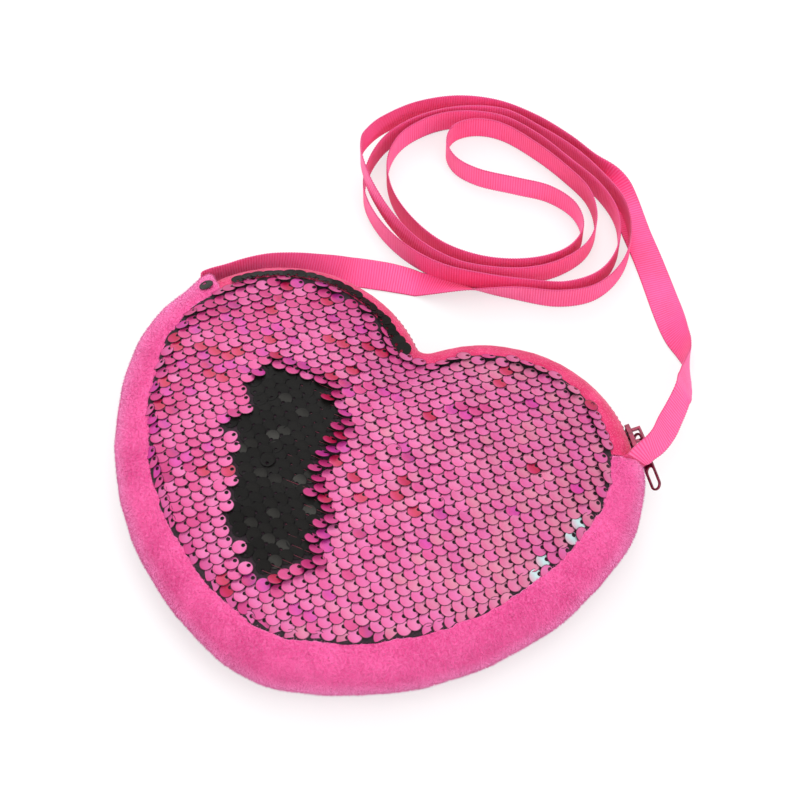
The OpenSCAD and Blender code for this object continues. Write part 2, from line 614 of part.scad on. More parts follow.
module zipper_tape_front() { color("deeppink") tape(1); }

module zipper_tape_back() { color("deeppink") tape(-1); }

module zipper_teeth_front() { color("mediumvioletred") tooth_row(1, first_tooth_share); }

module zipper_teeth_back() { color("mediumvioletred") tooth_row(-1, 1 - first_tooth_share); }

module zipper_top_stops() {
    color("mediumvioletred") {
        zip_block(top_stop_deg, stop_len, tooth_mesh, tooth_reach);
        zip_block(top_stop_deg, stop_len, -tooth_reach, -tooth_mesh);
    }
}

module zipper_bottom_stop() {
    color("mediumvioletred") mirror([1, 0, 0])
        zip_block(bottom_stop_deg, bottom_stop_len, -tooth_reach, tooth_reach);
}

module slider_body() {
    flange_z = slider_w / 2 - flange_w;
    color("darkred") {
        along_lobe(nose_deg, heel_deg) translate([outer_plate_x, mid_z]) {
            translate([0, -slider_w / 2]) square([slider_plate_t, slider_w]);
            for (side = [-1, 1]) scale([1, side]) translate([-flange_drop, flange_z])
                square([flange_drop + slider_plate_t / 2, flange_w]);
        }
        along_lobe(nose_deg, heel_deg) translate([inner_plate_x, mid_z - inner_plate_w / 2])
            square([slider_plate_t, inner_plate_w]);
        along_lobe(nose_deg, nose_deg + lobe_angle(bridge_len))
            translate([inner_plate_x + slider_plate_t / 2, mid_z - bridge_w / 2])
                square([outer_plate_end_x - inner_plate_x - slider_plate_t, bridge_w]);
        along_lobe(crown_front_deg, crown_back_deg)
            translate([crown_in_x, mid_z - crown_w / 2]) square([crown_t, crown_w]);
        for (from = [crown_front_deg, crown_back_deg - lobe_angle(crown_post)])
            along_lobe(from, from + lobe_angle(crown_post))
                translate([outer_plate_end_x - slider_plate_t / 2, mid_z - crown_w / 2])
                    square([crown_out_x - outer_plate_end_x + slider_plate_t / 2, crown_w]);
    }
}

module pull_tab() {
    eye_end = pull_bar_r + upper_eye_len;
    plate_from = pull_len * plate_from_share;
    lower_eye_from = pull_len * lower_eye_share;
    half_w = pull_w / 2;
    color("darkred") translate([pivot[0], pivot[1], mid_z]) rotate(pull_rest_deg)
        rotate([90 - pull_roll_deg, 0, 0]) linear_extrude(pull_t, center = true) difference() {
            union() {
                stadium(-pull_bar_r, eye_end + pull_rim, half_w);
                translate([eye_end, -waist_w / 2]) square([plate_from - eye_end + half_w, waist_w]);
                stadium(plate_from, pull_len, half_w);
            }
            stadium(pull_bar_r, eye_end, half_w - pull_rim);
            stadium(lower_eye_from, pull_len - pull_rim, half_w - pull_rim);
        }
}

module strap() {
    sides = len(strap_outline);
    echo(strap_least_gap = strap_gap());
    color("hotpink") polyhedron(
        points = [for (i = [0 : last_ring]) each strap_ring(i)],
        faces = concat(
            [for (k = [1 : sides - 2]) [0, k, k + 1]],
            [for (k = [1 : sides - 2]) let (b = last_ring * sides) [b, b + k + 1, b + k]],
            [for (i = [0 : last_ring - 1], k = [0 : sides - 1])
                let (a = i * sides + k, b = i * sides + (k + 1) % sides) [a, a + sides, b + sides]],
            [for (i = [0 : last_ring - 1], k = [0 : sides - 1])
                let (a = i * sides + k, b = i * sides + (k + 1) % sides) [a, b + sides, b]]
        )
    );
}

module strap_tail_right() { color("hotpink") strap_tail(right_end_deg, right_exit_deg); }

module strap_tail_left() { color("hotpink") mirror([1, 0, 0]) strap_tail(left_end_deg, left_exit_deg); }

module front_seam_thread() { color("crimson") seam_stitches(seam_z - thread_depth_share * backing_t); }

module back_seam_thread() { color("crimson") seam_stitches(back_t / 2); }

module sequins_pink() { color("hotpink") field(false); }

module sequins_black() { color("black") field(true); }

back_panel();
back_lining();
front_backing();
front_lining();
gusset_band();
gusset_lining();
zipper_tape_front();
zipper_tape_back();
zipper_teeth_front();
zipper_teeth_back();
zipper_top_stops();
zipper_bottom_stop();
slider_body();
pull_tab();
strap();
strap_tail_right();
strap_tail_left();
front_seam_thread();
back_seam_thread();
sequins_pink();
sequins_black();
flip_sequin(0);  // flip_sequin_1
flip_sequin(1);  // flip_sequin_2
flip_sequin(2);  // flip_sequin_3
flip_sequin(3);  // flip_sequin_4
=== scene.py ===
import math
import random

import bmesh
import bpy
from mathutils import Matrix, Vector, noise
from mathutils.bvhtree import BVHTree
from mathutils.kdtree import KDTree


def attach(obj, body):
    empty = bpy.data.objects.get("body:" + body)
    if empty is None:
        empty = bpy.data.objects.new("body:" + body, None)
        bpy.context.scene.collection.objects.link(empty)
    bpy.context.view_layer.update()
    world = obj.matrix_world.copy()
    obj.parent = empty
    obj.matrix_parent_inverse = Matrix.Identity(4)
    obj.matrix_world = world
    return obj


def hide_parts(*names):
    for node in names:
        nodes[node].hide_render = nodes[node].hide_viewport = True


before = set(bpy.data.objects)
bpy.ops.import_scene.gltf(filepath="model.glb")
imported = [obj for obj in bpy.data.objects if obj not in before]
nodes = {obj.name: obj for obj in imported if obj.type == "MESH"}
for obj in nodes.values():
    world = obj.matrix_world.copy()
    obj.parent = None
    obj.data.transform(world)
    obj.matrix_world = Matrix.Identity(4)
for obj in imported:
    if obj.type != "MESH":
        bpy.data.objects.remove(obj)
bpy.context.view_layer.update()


# Camera, lamps and the white sheet that the purse is laid on. The camera looks down from the
# tip's side, a little from the right. The lamps are large and soft, and the sheet stays white.
view_azimuth = math.radians(24.64)
view_elevation = math.radians(59.66)
view_distance = 0.7
view_target = Vector((-0.00285, 0.04289, 0))
view_angle = math.radians(21.36)
floor_size = 4
lamp_plan = [
    ("key_lamp", (-0.55, 0.75, 0.95), 0.9, 8.5),
    ("fill_lamp", (1.0, -0.2, 0.6), 0.8, 6.0),
    ("front_lamp", (-0.75, -0.9, 0.5), 0.8, 6.5),
    ("top_lamp", (0.15, 0.1, 1.3), 1.0, 8.5),
]
white = (1, 1, 1, 1)
room_light = 0.42
sheet_glow = 0.62

outwards = Vector((
    math.cos(view_elevation) * math.sin(view_azimuth),
    -math.cos(view_elevation) * math.cos(view_azimuth),
    math.sin(view_elevation),
))
camera = bpy.data.objects.new("camera", bpy.data.cameras.new("camera"))
camera.location = view_target + view_distance * outwards
camera.rotation_euler = outwards.to_track_quat("Z", "Y").to_euler()
camera.data.sensor_fit = "HORIZONTAL"
camera.data.angle = view_angle
camera.data.clip_start = 0.01
bpy.context.scene.collection.objects.link(camera)
bpy.context.scene.camera = camera
bpy.context.scene.view_settings.view_transform = "Standard"


def add_node(tree, kind, settings=(), **inputs):
    """A new shader node; a keyword names an input, with _ for a space, and gives its value or source."""
    made = tree.nodes.new(kind)
    for name, value in dict(settings).items():
        setattr(made, name, value)
    for name, value in inputs.items():
        socket = made.inputs[name.replace("_", " ")]
        if isinstance(value, bpy.types.NodeSocket):
            tree.links.new(value, socket)
        else:
            socket.default_value = value
    return made


def lamp(name, place, size, watts):
    """A square soft lamp that faces the purse."""
    data = bpy.data.lights.new(name, "AREA")
    data.size = size
    data.energy = watts
    made = bpy.data.objects.new(name, data)
    made.location = place
    made.rotation_euler = (Vector(place) - view_target).to_track_quat("Z", "Y").to_euler()
    bpy.context.scene.collection.objects.link(made)


for plan in lamp_plan:
    lamp(*plan)

world = bpy.data.worlds.new("studio")
world.use_nodes = True
world_tree = world.node_tree
world_tree.nodes.clear()
path = add_node(world_tree, "ShaderNodeLightPath")
seen = add_node(world_tree, "ShaderNodeMath", {"operation": "MAXIMUM"})
world_tree.links.new(path.outputs["Is Camera Ray"], seen.inputs[0])
world_tree.links.new(path.outputs["Is Glossy Ray"], seen.inputs[1])
lit = add_node(world_tree, "ShaderNodeBackground", Color=white, Strength=room_light)
shown = add_node(world_tree, "ShaderNodeBackground", Color=white, Strength=1)
either = add_node(world_tree, "ShaderNodeMixShader", Fac=seen.outputs[0])
world_tree.links.new(lit.outputs[0], either.inputs[1])
world_tree.links.new(shown.outputs[0], either.inputs[2])
add_node(world_tree, "ShaderNodeOutputWorld", Surface=either.outputs[0])
bpy.context.scene.world = world

floor_bm = bmesh.new()
bmesh.ops.create_grid(floor_bm, x_segments=1, y_segments=1, size=floor_size / 2)
floor_mesh = bpy.data.meshes.new("floor")
floor_bm.to_mesh(floor_mesh)
floor_bm.free()
floor = bpy.data.objects.new("floor", floor_mesh)
bpy.context.scene.collection.objects.link(floor)
floor_finish = bpy.data.materials.new("white_sheet")
floor_finish.use_nodes = True
floor_tree = floor_finish.node_tree
floor_tree.nodes.clear()
floor_shade = add_node(floor_tree, "ShaderNodeBsdfDiffuse", Color=(0.9, 0.9, 0.9, 1))
floor_glow = add_node(floor_tree, "ShaderNodeEmission", Color=white, Strength=1)
floor_path = add_node(floor_tree, "ShaderNodeLightPath")
glow_share = add_node(floor_tree, "ShaderNodeMath", {"operation": "MULTIPLY"})
floor_tree.links.new(floor_path.outputs["Is Camera Ray"], glow_share.inputs[0])
glow_share.inputs[1].default_value = sheet_glow
floor_mix = add_node(floor_tree, "ShaderNodeMixShader", Fac=glow_share.outputs[0])
floor_tree.links.new(floor_shade.outputs[0], floor_mix.inputs[1])
floor_tree.links.new(floor_glow.outputs[0], floor_mix.inputs[2])
add_node(floor_tree, "ShaderNodeOutputMaterial", Surface=floor_mix.outputs[0])
floor_mesh.materials.append(floor_finish)


# Shoulder strap: one long grosgrain ribbon, 10 mm wide, with a rib every 0.9 mm along it. Its
# ends are sewn in between the plush edge and the zip, and it lies in loose coils by the cleft.
mm = 0.001
ribbon_w = 10 * mm
ribbon_t = 0.32 * mm
rib_pitch = 0.88 * mm
rib_height = 0.15 * mm
rib_notch = 0.12 * mm
columns_per_rib = 4
route_steps = 6000
least_lift = 0.05 * mm
hold_length = 6 * mm
right_end = math.radians(28)
right_exit = math.radians(40)
left_end = math.radians(33)
ribbon_route = [
    (78.4, 44.7, 13.8, 40), (80.4, 48.9, 14, 28), (82.2, 53.8, 14.2, 35), (82.8, 59.7, 14.1, 43),
    (83, 64.5, 13.8, 40), (83.1, 69.3, 13.7, 37), (82.9, 74, 13.4, 34), (82.2, 79, 10.1, 30),
    (81.4, 83.6, 7.2, 24), (80.6, 88, 4.4, 14), (78.9, 93, 1.6, -4), (75.6, 98, 0.3, -24),
    (70.8, 103.4, 0.1, -48), (63.4, 113.4, 0.1, -78), (54, 125.5, 0.1, -90),
    (44, 137, 0.1, -90), (35.5, 147, 0.1, -80), (29, 152, 0.1, -38), (21.5, 155.6, 0.1, 0),
    (9, 160, 0.1, 0), (-5, 163.2, 0.1, 0), (-20, 163.6, 0.1, 0), (-34, 159.2, 0.3, 0),
    (-45.5, 149.8, 1.5, 0), (-52.5, 137, 4.5, 0), (-54.2, 126, 8.2, 0), (-52.4, 118.6, 10.8, 0),
    (-48.4, 112.6, 10.8, 0), (-42, 106.8, 8, 0), (-32, 101, 4, 0), (-19.5, 96.6, 1.2, 0),
    (-6, 95.2, 0.3, 0), (7, 98, 0.1, 0), (18, 103, 0.1, 0), (26.6, 110.8, 0.1, 0),
    (31.6, 121, 0.1, 0), (30.4, 132, 0.1, 0), (23.5, 141.6, 0.1, 0), (12, 147.6, 0.1, 0),
    (-1, 152.2, 0.1, 0), (-14, 154.8, 0.1, 0), (-23.5, 153, 0.1, 0), (-29.6, 147.4, 0.1, 0),
    (-29.4, 140, 0.1, 0), (-23.5, 134.6, 0.1, 0), (-14, 133.2, 0.1, 0), (-1, 135.2, 0.1, 0),
    (11, 136.8, 0.1, 0), (21.5, 134, 0.1, 0), (27.6, 126.6, 0.1, 0), (27, 117.4, 0.1, 0),
    (21, 109.6, 0.1, 0), (11, 103.4, 0.1, 0), (-1, 100, 0.1, 0), (-14, 100.2, 0.1, 0),
    (-27, 105, 0.1, 0), (-38, 113, 0.1, 0), (-44.8, 124, 0.1, 0), (-45.2, 136, 0.1, 0),
    (-38.5, 147.4, 0.1, 0), (-28.5, 154.6, 0.1, 0), (-15.5, 158, 0.1, 0), (-1.5, 155.9, 0.1, 0),
    (13, 150.6, 0.1, 0), (26.5, 145, 0.1, 0), (36.5, 136.4, 0.1, 0), (41.4, 124, 0.1, 0),
    (39.8, 111.8, 0.1, 0), (31.4, 102.8, 0.1, 0), (19, 98, 0.1, 0), (4.5, 94, 0.1, 0),
    (-10, 91.8, 0.1, 0), (-24, 93.8, 0.1, 0), (-37, 99.8, 0.1, 0), (-46.8, 109, 0.1, 0),
    (-50.6, 121, 0.1, 0), (-49.4, 134, 0.1, 0), (-42.4, 146, 0.1, 0), (-31, 155.6, 0.1, 0),
    (-16.5, 161, 0.1, 0), (-2, 159.2, 0.1, 0), (12, 155.8, 0.1, 0), (25, 150, 0.1, 0),
    (36.6, 142.4, 0.1, 0), (43.6, 131, 0.1, 0), (45.2, 118, 0.1, 0), (40.8, 106, 0.1, 0),
    (30.6, 98.4, 0.1, 0), (17, 94.4, 0.1, 8), (2, 90, 0.1, 36), (-15.6, 86.9, 0.1, 88),
    (-24.6, 84.5, 0.1, 109), (-29.3, 83, 0.1, 117), (-33.8, 81.4, 0.1, 126), (-38.3, 79.3, 0.6, 138),
    (-43.2, 77.3, 1.5, 149), (-48, 75.2, 2.4, 158), (-52.6, 73.1, 3.4, 164), (-57.2, 70.7, 4.4, 169),
    (-61.6, 68.1, 5.1, 172), (-65.6, 64.9, 5.7, 173), (-69.4, 61.4, 6, 174), (-73.4, 57.5, 6, 176),
    (-77.4, 54, 6, 178), (-79.3, 51.7, 6, 180), (-79, 50.2, 6, 180),
]


def srgb(red, green, blue):
    """A colour as seen on a screen, from 0 to 255 each, for a shader."""
    linear = [((c / 255 + 0.055) / 1.055) ** 2.4 if c > 10 else c / 3295 for c in (red, green, blue)]
    return (*linear, 1)


def new_finish(name, roughness):
    """A new material, its node tree and its shader, for its section to colour."""
    made = bpy.data.materials.new(name)
    made.use_nodes = True
    shader = made.node_tree.nodes["Principled BSDF"]
    shader.inputs["Roughness"].default_value = roughness
    return made, made.node_tree, shader


def ramp(tree, factor, *stops):
    """A colour ramp with the given (place, colour) stops; returns its colour."""
    made = add_node(tree, "ShaderNodeValToRGB", Fac=factor)
    elements = made.color_ramp.elements
    elements[0].position, elements[0].color = stops[0]
    elements[1].position, elements[1].color = stops[-1]
    for place, colour in stops[1:-1]:
        elements.new(place).color = colour
    return made.outputs["Color"]


def mixed(tree, factor, first, second, kind="MIX"):
    """Two colours mixed by a factor; returns the colour."""
    made = tree.nodes.new("ShaderNodeMix")
    made.data_type = "RGBA"
    made.blend_type = kind
    for socket, value in ((made.inputs[0], factor), (made.inputs[6], first), (made.inputs[7], second)):
        if isinstance(value, bpy.types.NodeSocket):
            tree.links.new(value, socket)
        else:
            socket.default_value = value
    return made.outputs[2]


def number(tree, operation, first, second=0.0):
    """The result of one sum on two numbers or sockets."""
    made = tree.nodes.new("ShaderNodeMath")
    made.operation = operation
    for socket, value in zip(made.inputs, (first, second)):
        if isinstance(value, bpy.types.NodeSocket):
            tree.links.new(value, socket)
        else:
            socket.default_value = value
    return made.outputs[0]


def bumped(tree, shader, height, depth):
    """Gives the shader a bump of that depth in metres."""
    bump = add_node(tree, "ShaderNodeBump", Strength=1, Distance=depth, Height=height)
    tree.links.new(bump.outputs["Normal"], shader.inputs["Normal"])


def add_piece(name, bm, finishes, body="bag", smooth=True):
    """An object made of a bmesh, riding on a body."""
    mesh = bpy.data.meshes.new(name)
    bm.to_mesh(mesh)
    bm.free()
    for finish in finishes:
        mesh.materials.append(finish)
    mesh.polygons.foreach_set("use_smooth", [smooth] * len(mesh.polygons))
    made = bpy.data.objects.new(name, mesh)
    bpy.context.scene.collection.objects.link(made)
    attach(made, body)
    return made


def spline(points, t):
    """The point at share t of a smooth curve through the points."""
    at = min(max(t, 0), 1) * (len(points) - 1)
    i = min(int(at), len(points) - 2)
    f = at - i
    a, b, c, d = (points[min(max(k, 0), len(points) - 1)] for k in (i - 1, i, i + 1, i + 2))
    return b + 0.5 * f * (c - a + f * (2 * a - 5 * b + 4 * c - d + f * (3 * (b - c) + d - a)))


def middle_of(place):
    """The middle of the ribbon and its lean, from where its lower edge is and its lean."""
    x, y, lift, lean = place
    above = ribbon_w / 2 * abs(math.cos(lean)) + (ribbon_t + rib_height) / 2
    return Vector((x, y, max(lift, least_lift) + above, lean))


route = [Vector((x * mm, y * mm, lift * mm, math.radians(lean))) for x, y, lift, lean in ribbon_route]
samples = [middle_of(spline(route, i / route_steps)) for i in range(route_steps + 1)]
travelled = [0.0]
for before, after in zip(samples, samples[1:]):
    travelled.append(travelled[-1] + (after.xyz - before.xyz).length)
strap_length = travelled[-1]
rib_count = round(strap_length / rib_pitch)
ribbon_columns = rib_count * columns_per_rib


def along_route(distance):
    """The ribbon's middle and lean at a distance from its right end."""
    low, high = 0, len(travelled) - 1
    while high - low > 1:
        half = (low + high) // 2
        low, high = (half, high) if travelled[half] <= distance else (low, half)
    f = (distance - travelled[low]) / (travelled[high] - travelled[low])
    return samples[low].lerp(samples[high], f)


exit_way = Vector((
    math.cos(right_exit) * math.cos(right_end),
    math.cos(right_exit) * math.sin(right_end),
    math.sin(right_exit),
))
entry_way = Vector((math.cos(left_end), -math.sin(left_end), 0))
exit_width = Vector((math.sin(right_end), -math.cos(right_end), 0)).cross(exit_way)
ribbon_frames = []
for i in range(ribbon_columns + 1):
    distance = strap_length * i / ribbon_columns
    here = along_route(distance)
    step = strap_length / ribbon_columns
    ahead, behind = along_route(min(distance + step, strap_length)), along_route(max(distance - step, 0))
    way = (ahead.xyz - behind.xyz).normalized()
    way = way.lerp(exit_way, max(0, 1 - distance / hold_length)).normalized()
    way = way.lerp(entry_way, max(0, 1 - (strap_length - distance) / hold_length)).normalized()
    side = Vector((-way.y, way.x, 0)).normalized()
    wide = Vector((0, 0, math.cos(here.w))) + side * math.sin(here.w)
    wide = wide.lerp(exit_width, max(0, 1 - distance / hold_length))
    wide = (wide - wide.dot(way) * way).normalized()
    ribbon_frames.append((here.xyz, wide, way.cross(wide)))

ribbon_rows = [-0.5, -0.45, 0.45, 0.5]
rib_profile = [0, 0.6, 1, 0.6]
ribbon_bm = bmesh.new()
ribbon_uv = ribbon_bm.loops.layers.uv.new("ribbon")
bmesh.ops.create_grid(ribbon_bm, x_segments=ribbon_columns, y_segments=len(ribbon_rows) - 1, size=0.5)
for v in ribbon_bm.verts:
    column = round((v.co.x + 0.5) * ribbon_columns)
    across = ribbon_rows[round((v.co.y + 0.5) * (len(ribbon_rows) - 1))]
    v.index = column
    centre, wide, thick = ribbon_frames[column]
    rib = rib_profile[column % columns_per_rib]
    reach = across * (ribbon_w - rib_notch + rib_notch * rib)
    v.co = centre + reach * wide + ((rib - 0.5) * rib_height + ribbon_t / 2) * thick
ribbon_bm.verts.ensure_lookup_table()
for face in ribbon_bm.faces:
    for loop in face.loops:
        i = loop.vert.index
        centre, wide, thick = ribbon_frames[i]
        across = (loop.vert.co - centre).dot(wide) / ribbon_w + 0.5
        loop[ribbon_uv].uv = (strap_length * i / ribbon_columns, across)
ribbon_bm.normal_update()
bmesh.ops.solidify(ribbon_bm, geom=ribbon_bm.faces[:], thickness=ribbon_t)

ribbon_finish, ribbon_tree, ribbon_shader = new_finish("grosgrain", 0.62)
ribbon_spot = add_node(ribbon_tree, "ShaderNodeUVMap", {"uv_map": "ribbon"})
ribbon_place = add_node(ribbon_tree, "ShaderNodeSeparateXYZ", Vector=ribbon_spot.outputs[0])
ribbon_across = number(
    ribbon_tree, "ABSOLUTE", number(ribbon_tree, "SUBTRACT", ribbon_place.outputs["Y"], 0.5))
ribbon_rib_highlight = number(ribbon_tree, "PINGPONG", number(
    ribbon_tree, "MULTIPLY", ribbon_place.outputs["X"], 2 / rib_pitch), 1)
ribbon_mottle = add_node(ribbon_tree, "ShaderNodeTexNoise", Scale=90, Detail=3)
ribbon_spots = add_node(ribbon_tree, "ShaderNodeTexCoord")
ribbon_tree.links.new(ribbon_spots.outputs["Object"], ribbon_mottle.inputs["Vector"])
ribbon_weave = add_node(ribbon_tree, "ShaderNodeTexNoise", Scale=2600, Detail=2)
ribbon_tree.links.new(ribbon_spots.outputs["Object"], ribbon_weave.inputs["Vector"])
ribbon_colour = ramp(
    ribbon_tree, ribbon_mottle.outputs["Fac"], (0.3, srgb(234, 44, 109)), (0.7, srgb(243, 58, 131)))
# The ribs are painted lighter and the grooves between them darker: painted highlight and shade on top of
# the real rib bumps.
ribbon_colour = mixed(
    ribbon_tree, ramp(ribbon_tree, ribbon_rib_highlight, (0.1, (0, 0, 0, 1)), (0.9, (0.75, 0.75, 0.75, 1))),
    ribbon_colour, srgb(250, 112, 174))
ribbon_edge = ramp(ribbon_tree, ribbon_across, (0.46, (0, 0, 0, 1)), (0.485, (0.45, 0.45, 0.45, 1)))
ribbon_colour = mixed(ribbon_tree, ribbon_edge, ribbon_colour, srgb(150, 30, 80))
ribbon_tree.links.new(ribbon_colour, ribbon_shader.inputs["Base Color"])
ribbon_shader.inputs["Sheen Weight"].default_value = 0.35
ribbon_shader.inputs["Sheen Tint"].default_value = srgb(255, 190, 220)
bumped(ribbon_tree, ribbon_shader, ribbon_weave.outputs["Fac"], 0.06 * mm)

strap = add_piece("ribbon_strap", ribbon_bm, [ribbon_finish])
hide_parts("strap")
for tail_name in ("strap_tail_right", "strap_tail_left"):
    nodes[tail_name].data.materials.clear()
    nodes[tail_name].data.materials.append(ribbon_finish)


# Plush edge and back panel: short brushed plush, one strip sewn round from one end of the zip
# over the tip to the other, and one heart-shaped piece behind. A fine pile stands on both.
pile_length = 0.8 * mm
pile_root = 0.09 * mm
pile_scatter = 0.4
pile_swirl = 0.8
hair_sizes = (0.6, 1.15)
edge_voxel = 1.1 * mm
edge_dent = 0.5 * mm
edge_pile_density = 5.6e6
back_pile_density = 4.2e6
seam_z = 22 * mm
seam_slack = 0.02 * mm
seam_probe = 0.5 * mm
edge_parts = 8
lap_in = 1.9 * mm
lap_up = 1.3 * mm
lap_from_z = 17.5 * mm
lap_rise = 3 * mm
lap_reach = 6 * mm
lobe_x, lobe_y, lobe_r = 36.5 * mm, 21.95 * mm, 39.5 * mm
edge_r = 11 * mm
turned_in_deg, past_end_deg = 8, 3
end_puffs = [(1, 28, 1.6, 0), (-1, 33, 4.4, 2.4)]

plush_finish, plush_tree, plush_shader = new_finish("brushed_plush", 0.85)
plush_spots = add_node(plush_tree, "ShaderNodeTexCoord").outputs["Object"]
brush_marks = add_node(
    plush_tree, "ShaderNodeTexNoise", Vector=plush_spots, Scale=85, Detail=4, Roughness=0.6)
fibre_specks = add_node(plush_tree, "ShaderNodeTexNoise", Vector=plush_spots, Scale=1400, Detail=2)
plush_colour = ramp(
    plush_tree, brush_marks.outputs["Fac"], (0.3, srgb(208, 66, 130)), (0.7, srgb(232, 92, 156)))
plush_specks = ramp(
    plush_tree, fibre_specks.outputs["Fac"], (0.4, (0, 0, 0, 1)), (0.75, (0.25, 0.25, 0.25, 1)))
plush_colour = mixed(plush_tree, plush_specks, plush_colour, srgb(255, 150, 205))
# Painted sheen: the plush is painted lighter pink where its surface turns away from the view, as its
# pile would catch the light.
painted_sheen_facing = add_node(plush_tree, "ShaderNodeLayerWeight", Blend=0.5).outputs["Facing"]
plush_colour = mixed(
    plush_tree, ramp(plush_tree, painted_sheen_facing, (0.3, (0, 0, 0, 1)), (0.9, (0.8, 0.8, 0.8, 1))),
    plush_colour, srgb(248, 160, 214))
plush_tree.links.new(plush_colour, plush_shader.inputs["Base Color"])
plush_shader.inputs["Sheen Weight"].default_value = 0.35
plush_shader.inputs["Sheen Roughness"].default_value = 0.4
plush_shader.inputs["Sheen Tint"].default_value = srgb(255, 175, 215)
plush_shader.inputs["Specular IOR Level"].default_value = 0.15
bumped(plush_tree, plush_shader, fibre_specks.outputs["Fac"], 0.25 * mm)


def copy_of(node_name):
    """A bmesh copy of a CAD node, with its loose triangles merged."""
    bm = bmesh.new()
    bm.from_mesh(nodes[node_name].data)
    bmesh.ops.remove_doubles(bm, verts=bm.verts, dist=0.004 * mm)
    return bm


def surface_of(node_name):
    """A tree for finding points on a CAD node's surface."""
    bm = copy_of(node_name)
    tree = BVHTree.FromBMesh(bm)
    bm.free()
    return tree


def soften(made, voxel, rounds, inset, dent, dent_size):
    """Turns a piece into one soft closed skin: remeshed, smoothed, drawn in and gently dented."""
    remesh = made.modifiers.new("skin", "REMESH")
    remesh.mode = "VOXEL"
    remesh.voxel_size = voxel
    bpy.context.view_layer.update()
    skin = bpy.data.meshes.new_from_object(made.evaluated_get(bpy.context.evaluated_depsgraph_get()))
    made.modifiers.clear()
    bm = bmesh.new()
    bm.from_mesh(skin)
    for _ in range(rounds):
        bmesh.ops.smooth_vert(
            bm, verts=bm.verts, factor=0.5, use_axis_x=True, use_axis_y=True, use_axis_z=True)
    bm.normal_update()
    shifts = [v.normal * (dent * noise.noise(v.co / dent_size) - inset) for v in bm.verts]
    for v, shift in zip(bm.verts, shifts):
        v.co += shift
    bm.to_mesh(made.data)
    bm.free()
    bpy.data.meshes.remove(skin)
    made.data.polygons.foreach_set("use_smooth", [True] * len(made.data.polygons))


def pile_nodes(comb, density, seed):
    """A node group that plants leaning hairs on the faces of a piece."""
    tree = bpy.data.node_groups.new("pile", "GeometryNodeTree")
    tree.interface.new_socket("Geometry", in_out="INPUT", socket_type="NodeSocketGeometry")
    tree.interface.new_socket("Geometry", in_out="OUTPUT", socket_type="NodeSocketGeometry")
    skin = tree.nodes.new("NodeGroupInput").outputs[0]
    out = tree.nodes.new("NodeGroupOutput")
    spread = tree.nodes.new("GeometryNodeDistributePointsOnFaces")
    tree.links.new(skin, spread.inputs["Mesh"])
    spread.inputs["Density"].default_value = density
    spread.inputs["Seed"].default_value = seed
    hair = tree.nodes.new("GeometryNodeMeshCone")
    hair.fill_type = "NONE"
    hair.inputs["Vertices"].default_value = 3
    hair.inputs["Radius Bottom"].default_value = pile_root
    hair.inputs["Radius Top"].default_value = 0
    hair.inputs["Depth"].default_value = pile_length
    scatter = tree.nodes.new("FunctionNodeRandomValue")
    scatter.data_type = "FLOAT_VECTOR"
    scatter.inputs[0].default_value = [-pile_scatter] * 3
    scatter.inputs[1].default_value = [pile_scatter] * 3
    scatter.inputs["Seed"].default_value = seed
    place = tree.nodes.new("GeometryNodeInputPosition").outputs[0]
    swirl = add_node(tree, "ShaderNodeTexNoise", Vector=place, Scale=70, Detail=2)
    swirl_out = add_node(tree, "ShaderNodeVectorMath", {"operation": "SUBTRACT"})
    tree.links.new(swirl.outputs["Color"], swirl_out.inputs[0])
    swirl_out.inputs[1].default_value = (0.5, 0.5, 0.5)
    swirl_far = add_node(tree, "ShaderNodeVectorMath", {"operation": "SCALE"}, Scale=pile_swirl)
    tree.links.new(swirl_out.outputs[0], swirl_far.inputs[0])
    lean = spread.outputs["Normal"]
    for source in (scatter.outputs[0], swirl_far.outputs[0], comb):
        total = add_node(tree, "ShaderNodeVectorMath", {"operation": "ADD"})
        tree.links.new(lean, total.inputs[0])
        if isinstance(source, bpy.types.NodeSocket):
            tree.links.new(source, total.inputs[1])
        else:
            total.inputs[1].default_value = source
        lean = total.outputs[0]
    turn = tree.nodes.new("FunctionNodeAlignRotationToVector")
    turn.axis = "Z"
    tree.links.new(lean, turn.inputs["Vector"])
    size = tree.nodes.new("FunctionNodeRandomValue")
    size.inputs[2].default_value, size.inputs[3].default_value = hair_sizes
    planted = tree.nodes.new("GeometryNodeInstanceOnPoints")
    tree.links.new(spread.outputs["Points"], planted.inputs["Points"])
    tree.links.new(hair.outputs["Mesh"], planted.inputs["Instance"])
    tree.links.new(turn.outputs[0], planted.inputs["Rotation"])
    tree.links.new(size.outputs[1], planted.inputs["Scale"])
    real = tree.nodes.new("GeometryNodeRealizeInstances")
    tree.links.new(planted.outputs[0], real.inputs[0])
    tree.links.new(real.outputs[0], out.inputs[0])
    return tree


def plant_pile(name, skin_bm, comb, density, seed):
    """A piece of fine hairs that stand on the faces of a bmesh."""
    made = add_piece(name, skin_bm, [plush_finish])
    plant = made.modifiers.new("pile", "NODES")
    plant.node_group = pile_nodes(comb, density, seed)
    bpy.context.view_layer.update()
    hairs = bpy.data.meshes.new_from_object(made.evaluated_get(bpy.context.evaluated_depsgraph_get()))
    made.modifiers.clear()
    made.data = hairs
    hairs.materials.clear()
    hairs.materials.append(plush_finish)
    hairs.polygons.foreach_set("use_smooth", [True] * len(hairs.polygons))


plush_edge = add_piece("plush_edge", copy_of("gusset_band"), [plush_finish])
soften(plush_edge, edge_voxel, rounds=4, inset=0.35 * mm, dent=edge_dent, dent_size=12 * mm)
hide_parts("gusset_band")

cloth_tree = surface_of("front_backing")


def cloth_at(x, y):
    """The front cloth's surface point and normal above a place, or None off the cloth."""
    point, normal, _, _ = cloth_tree.ray_cast(Vector((x, y, 0.1)), Vector((0, 0, -1)))
    return None if point is None else (point, normal)


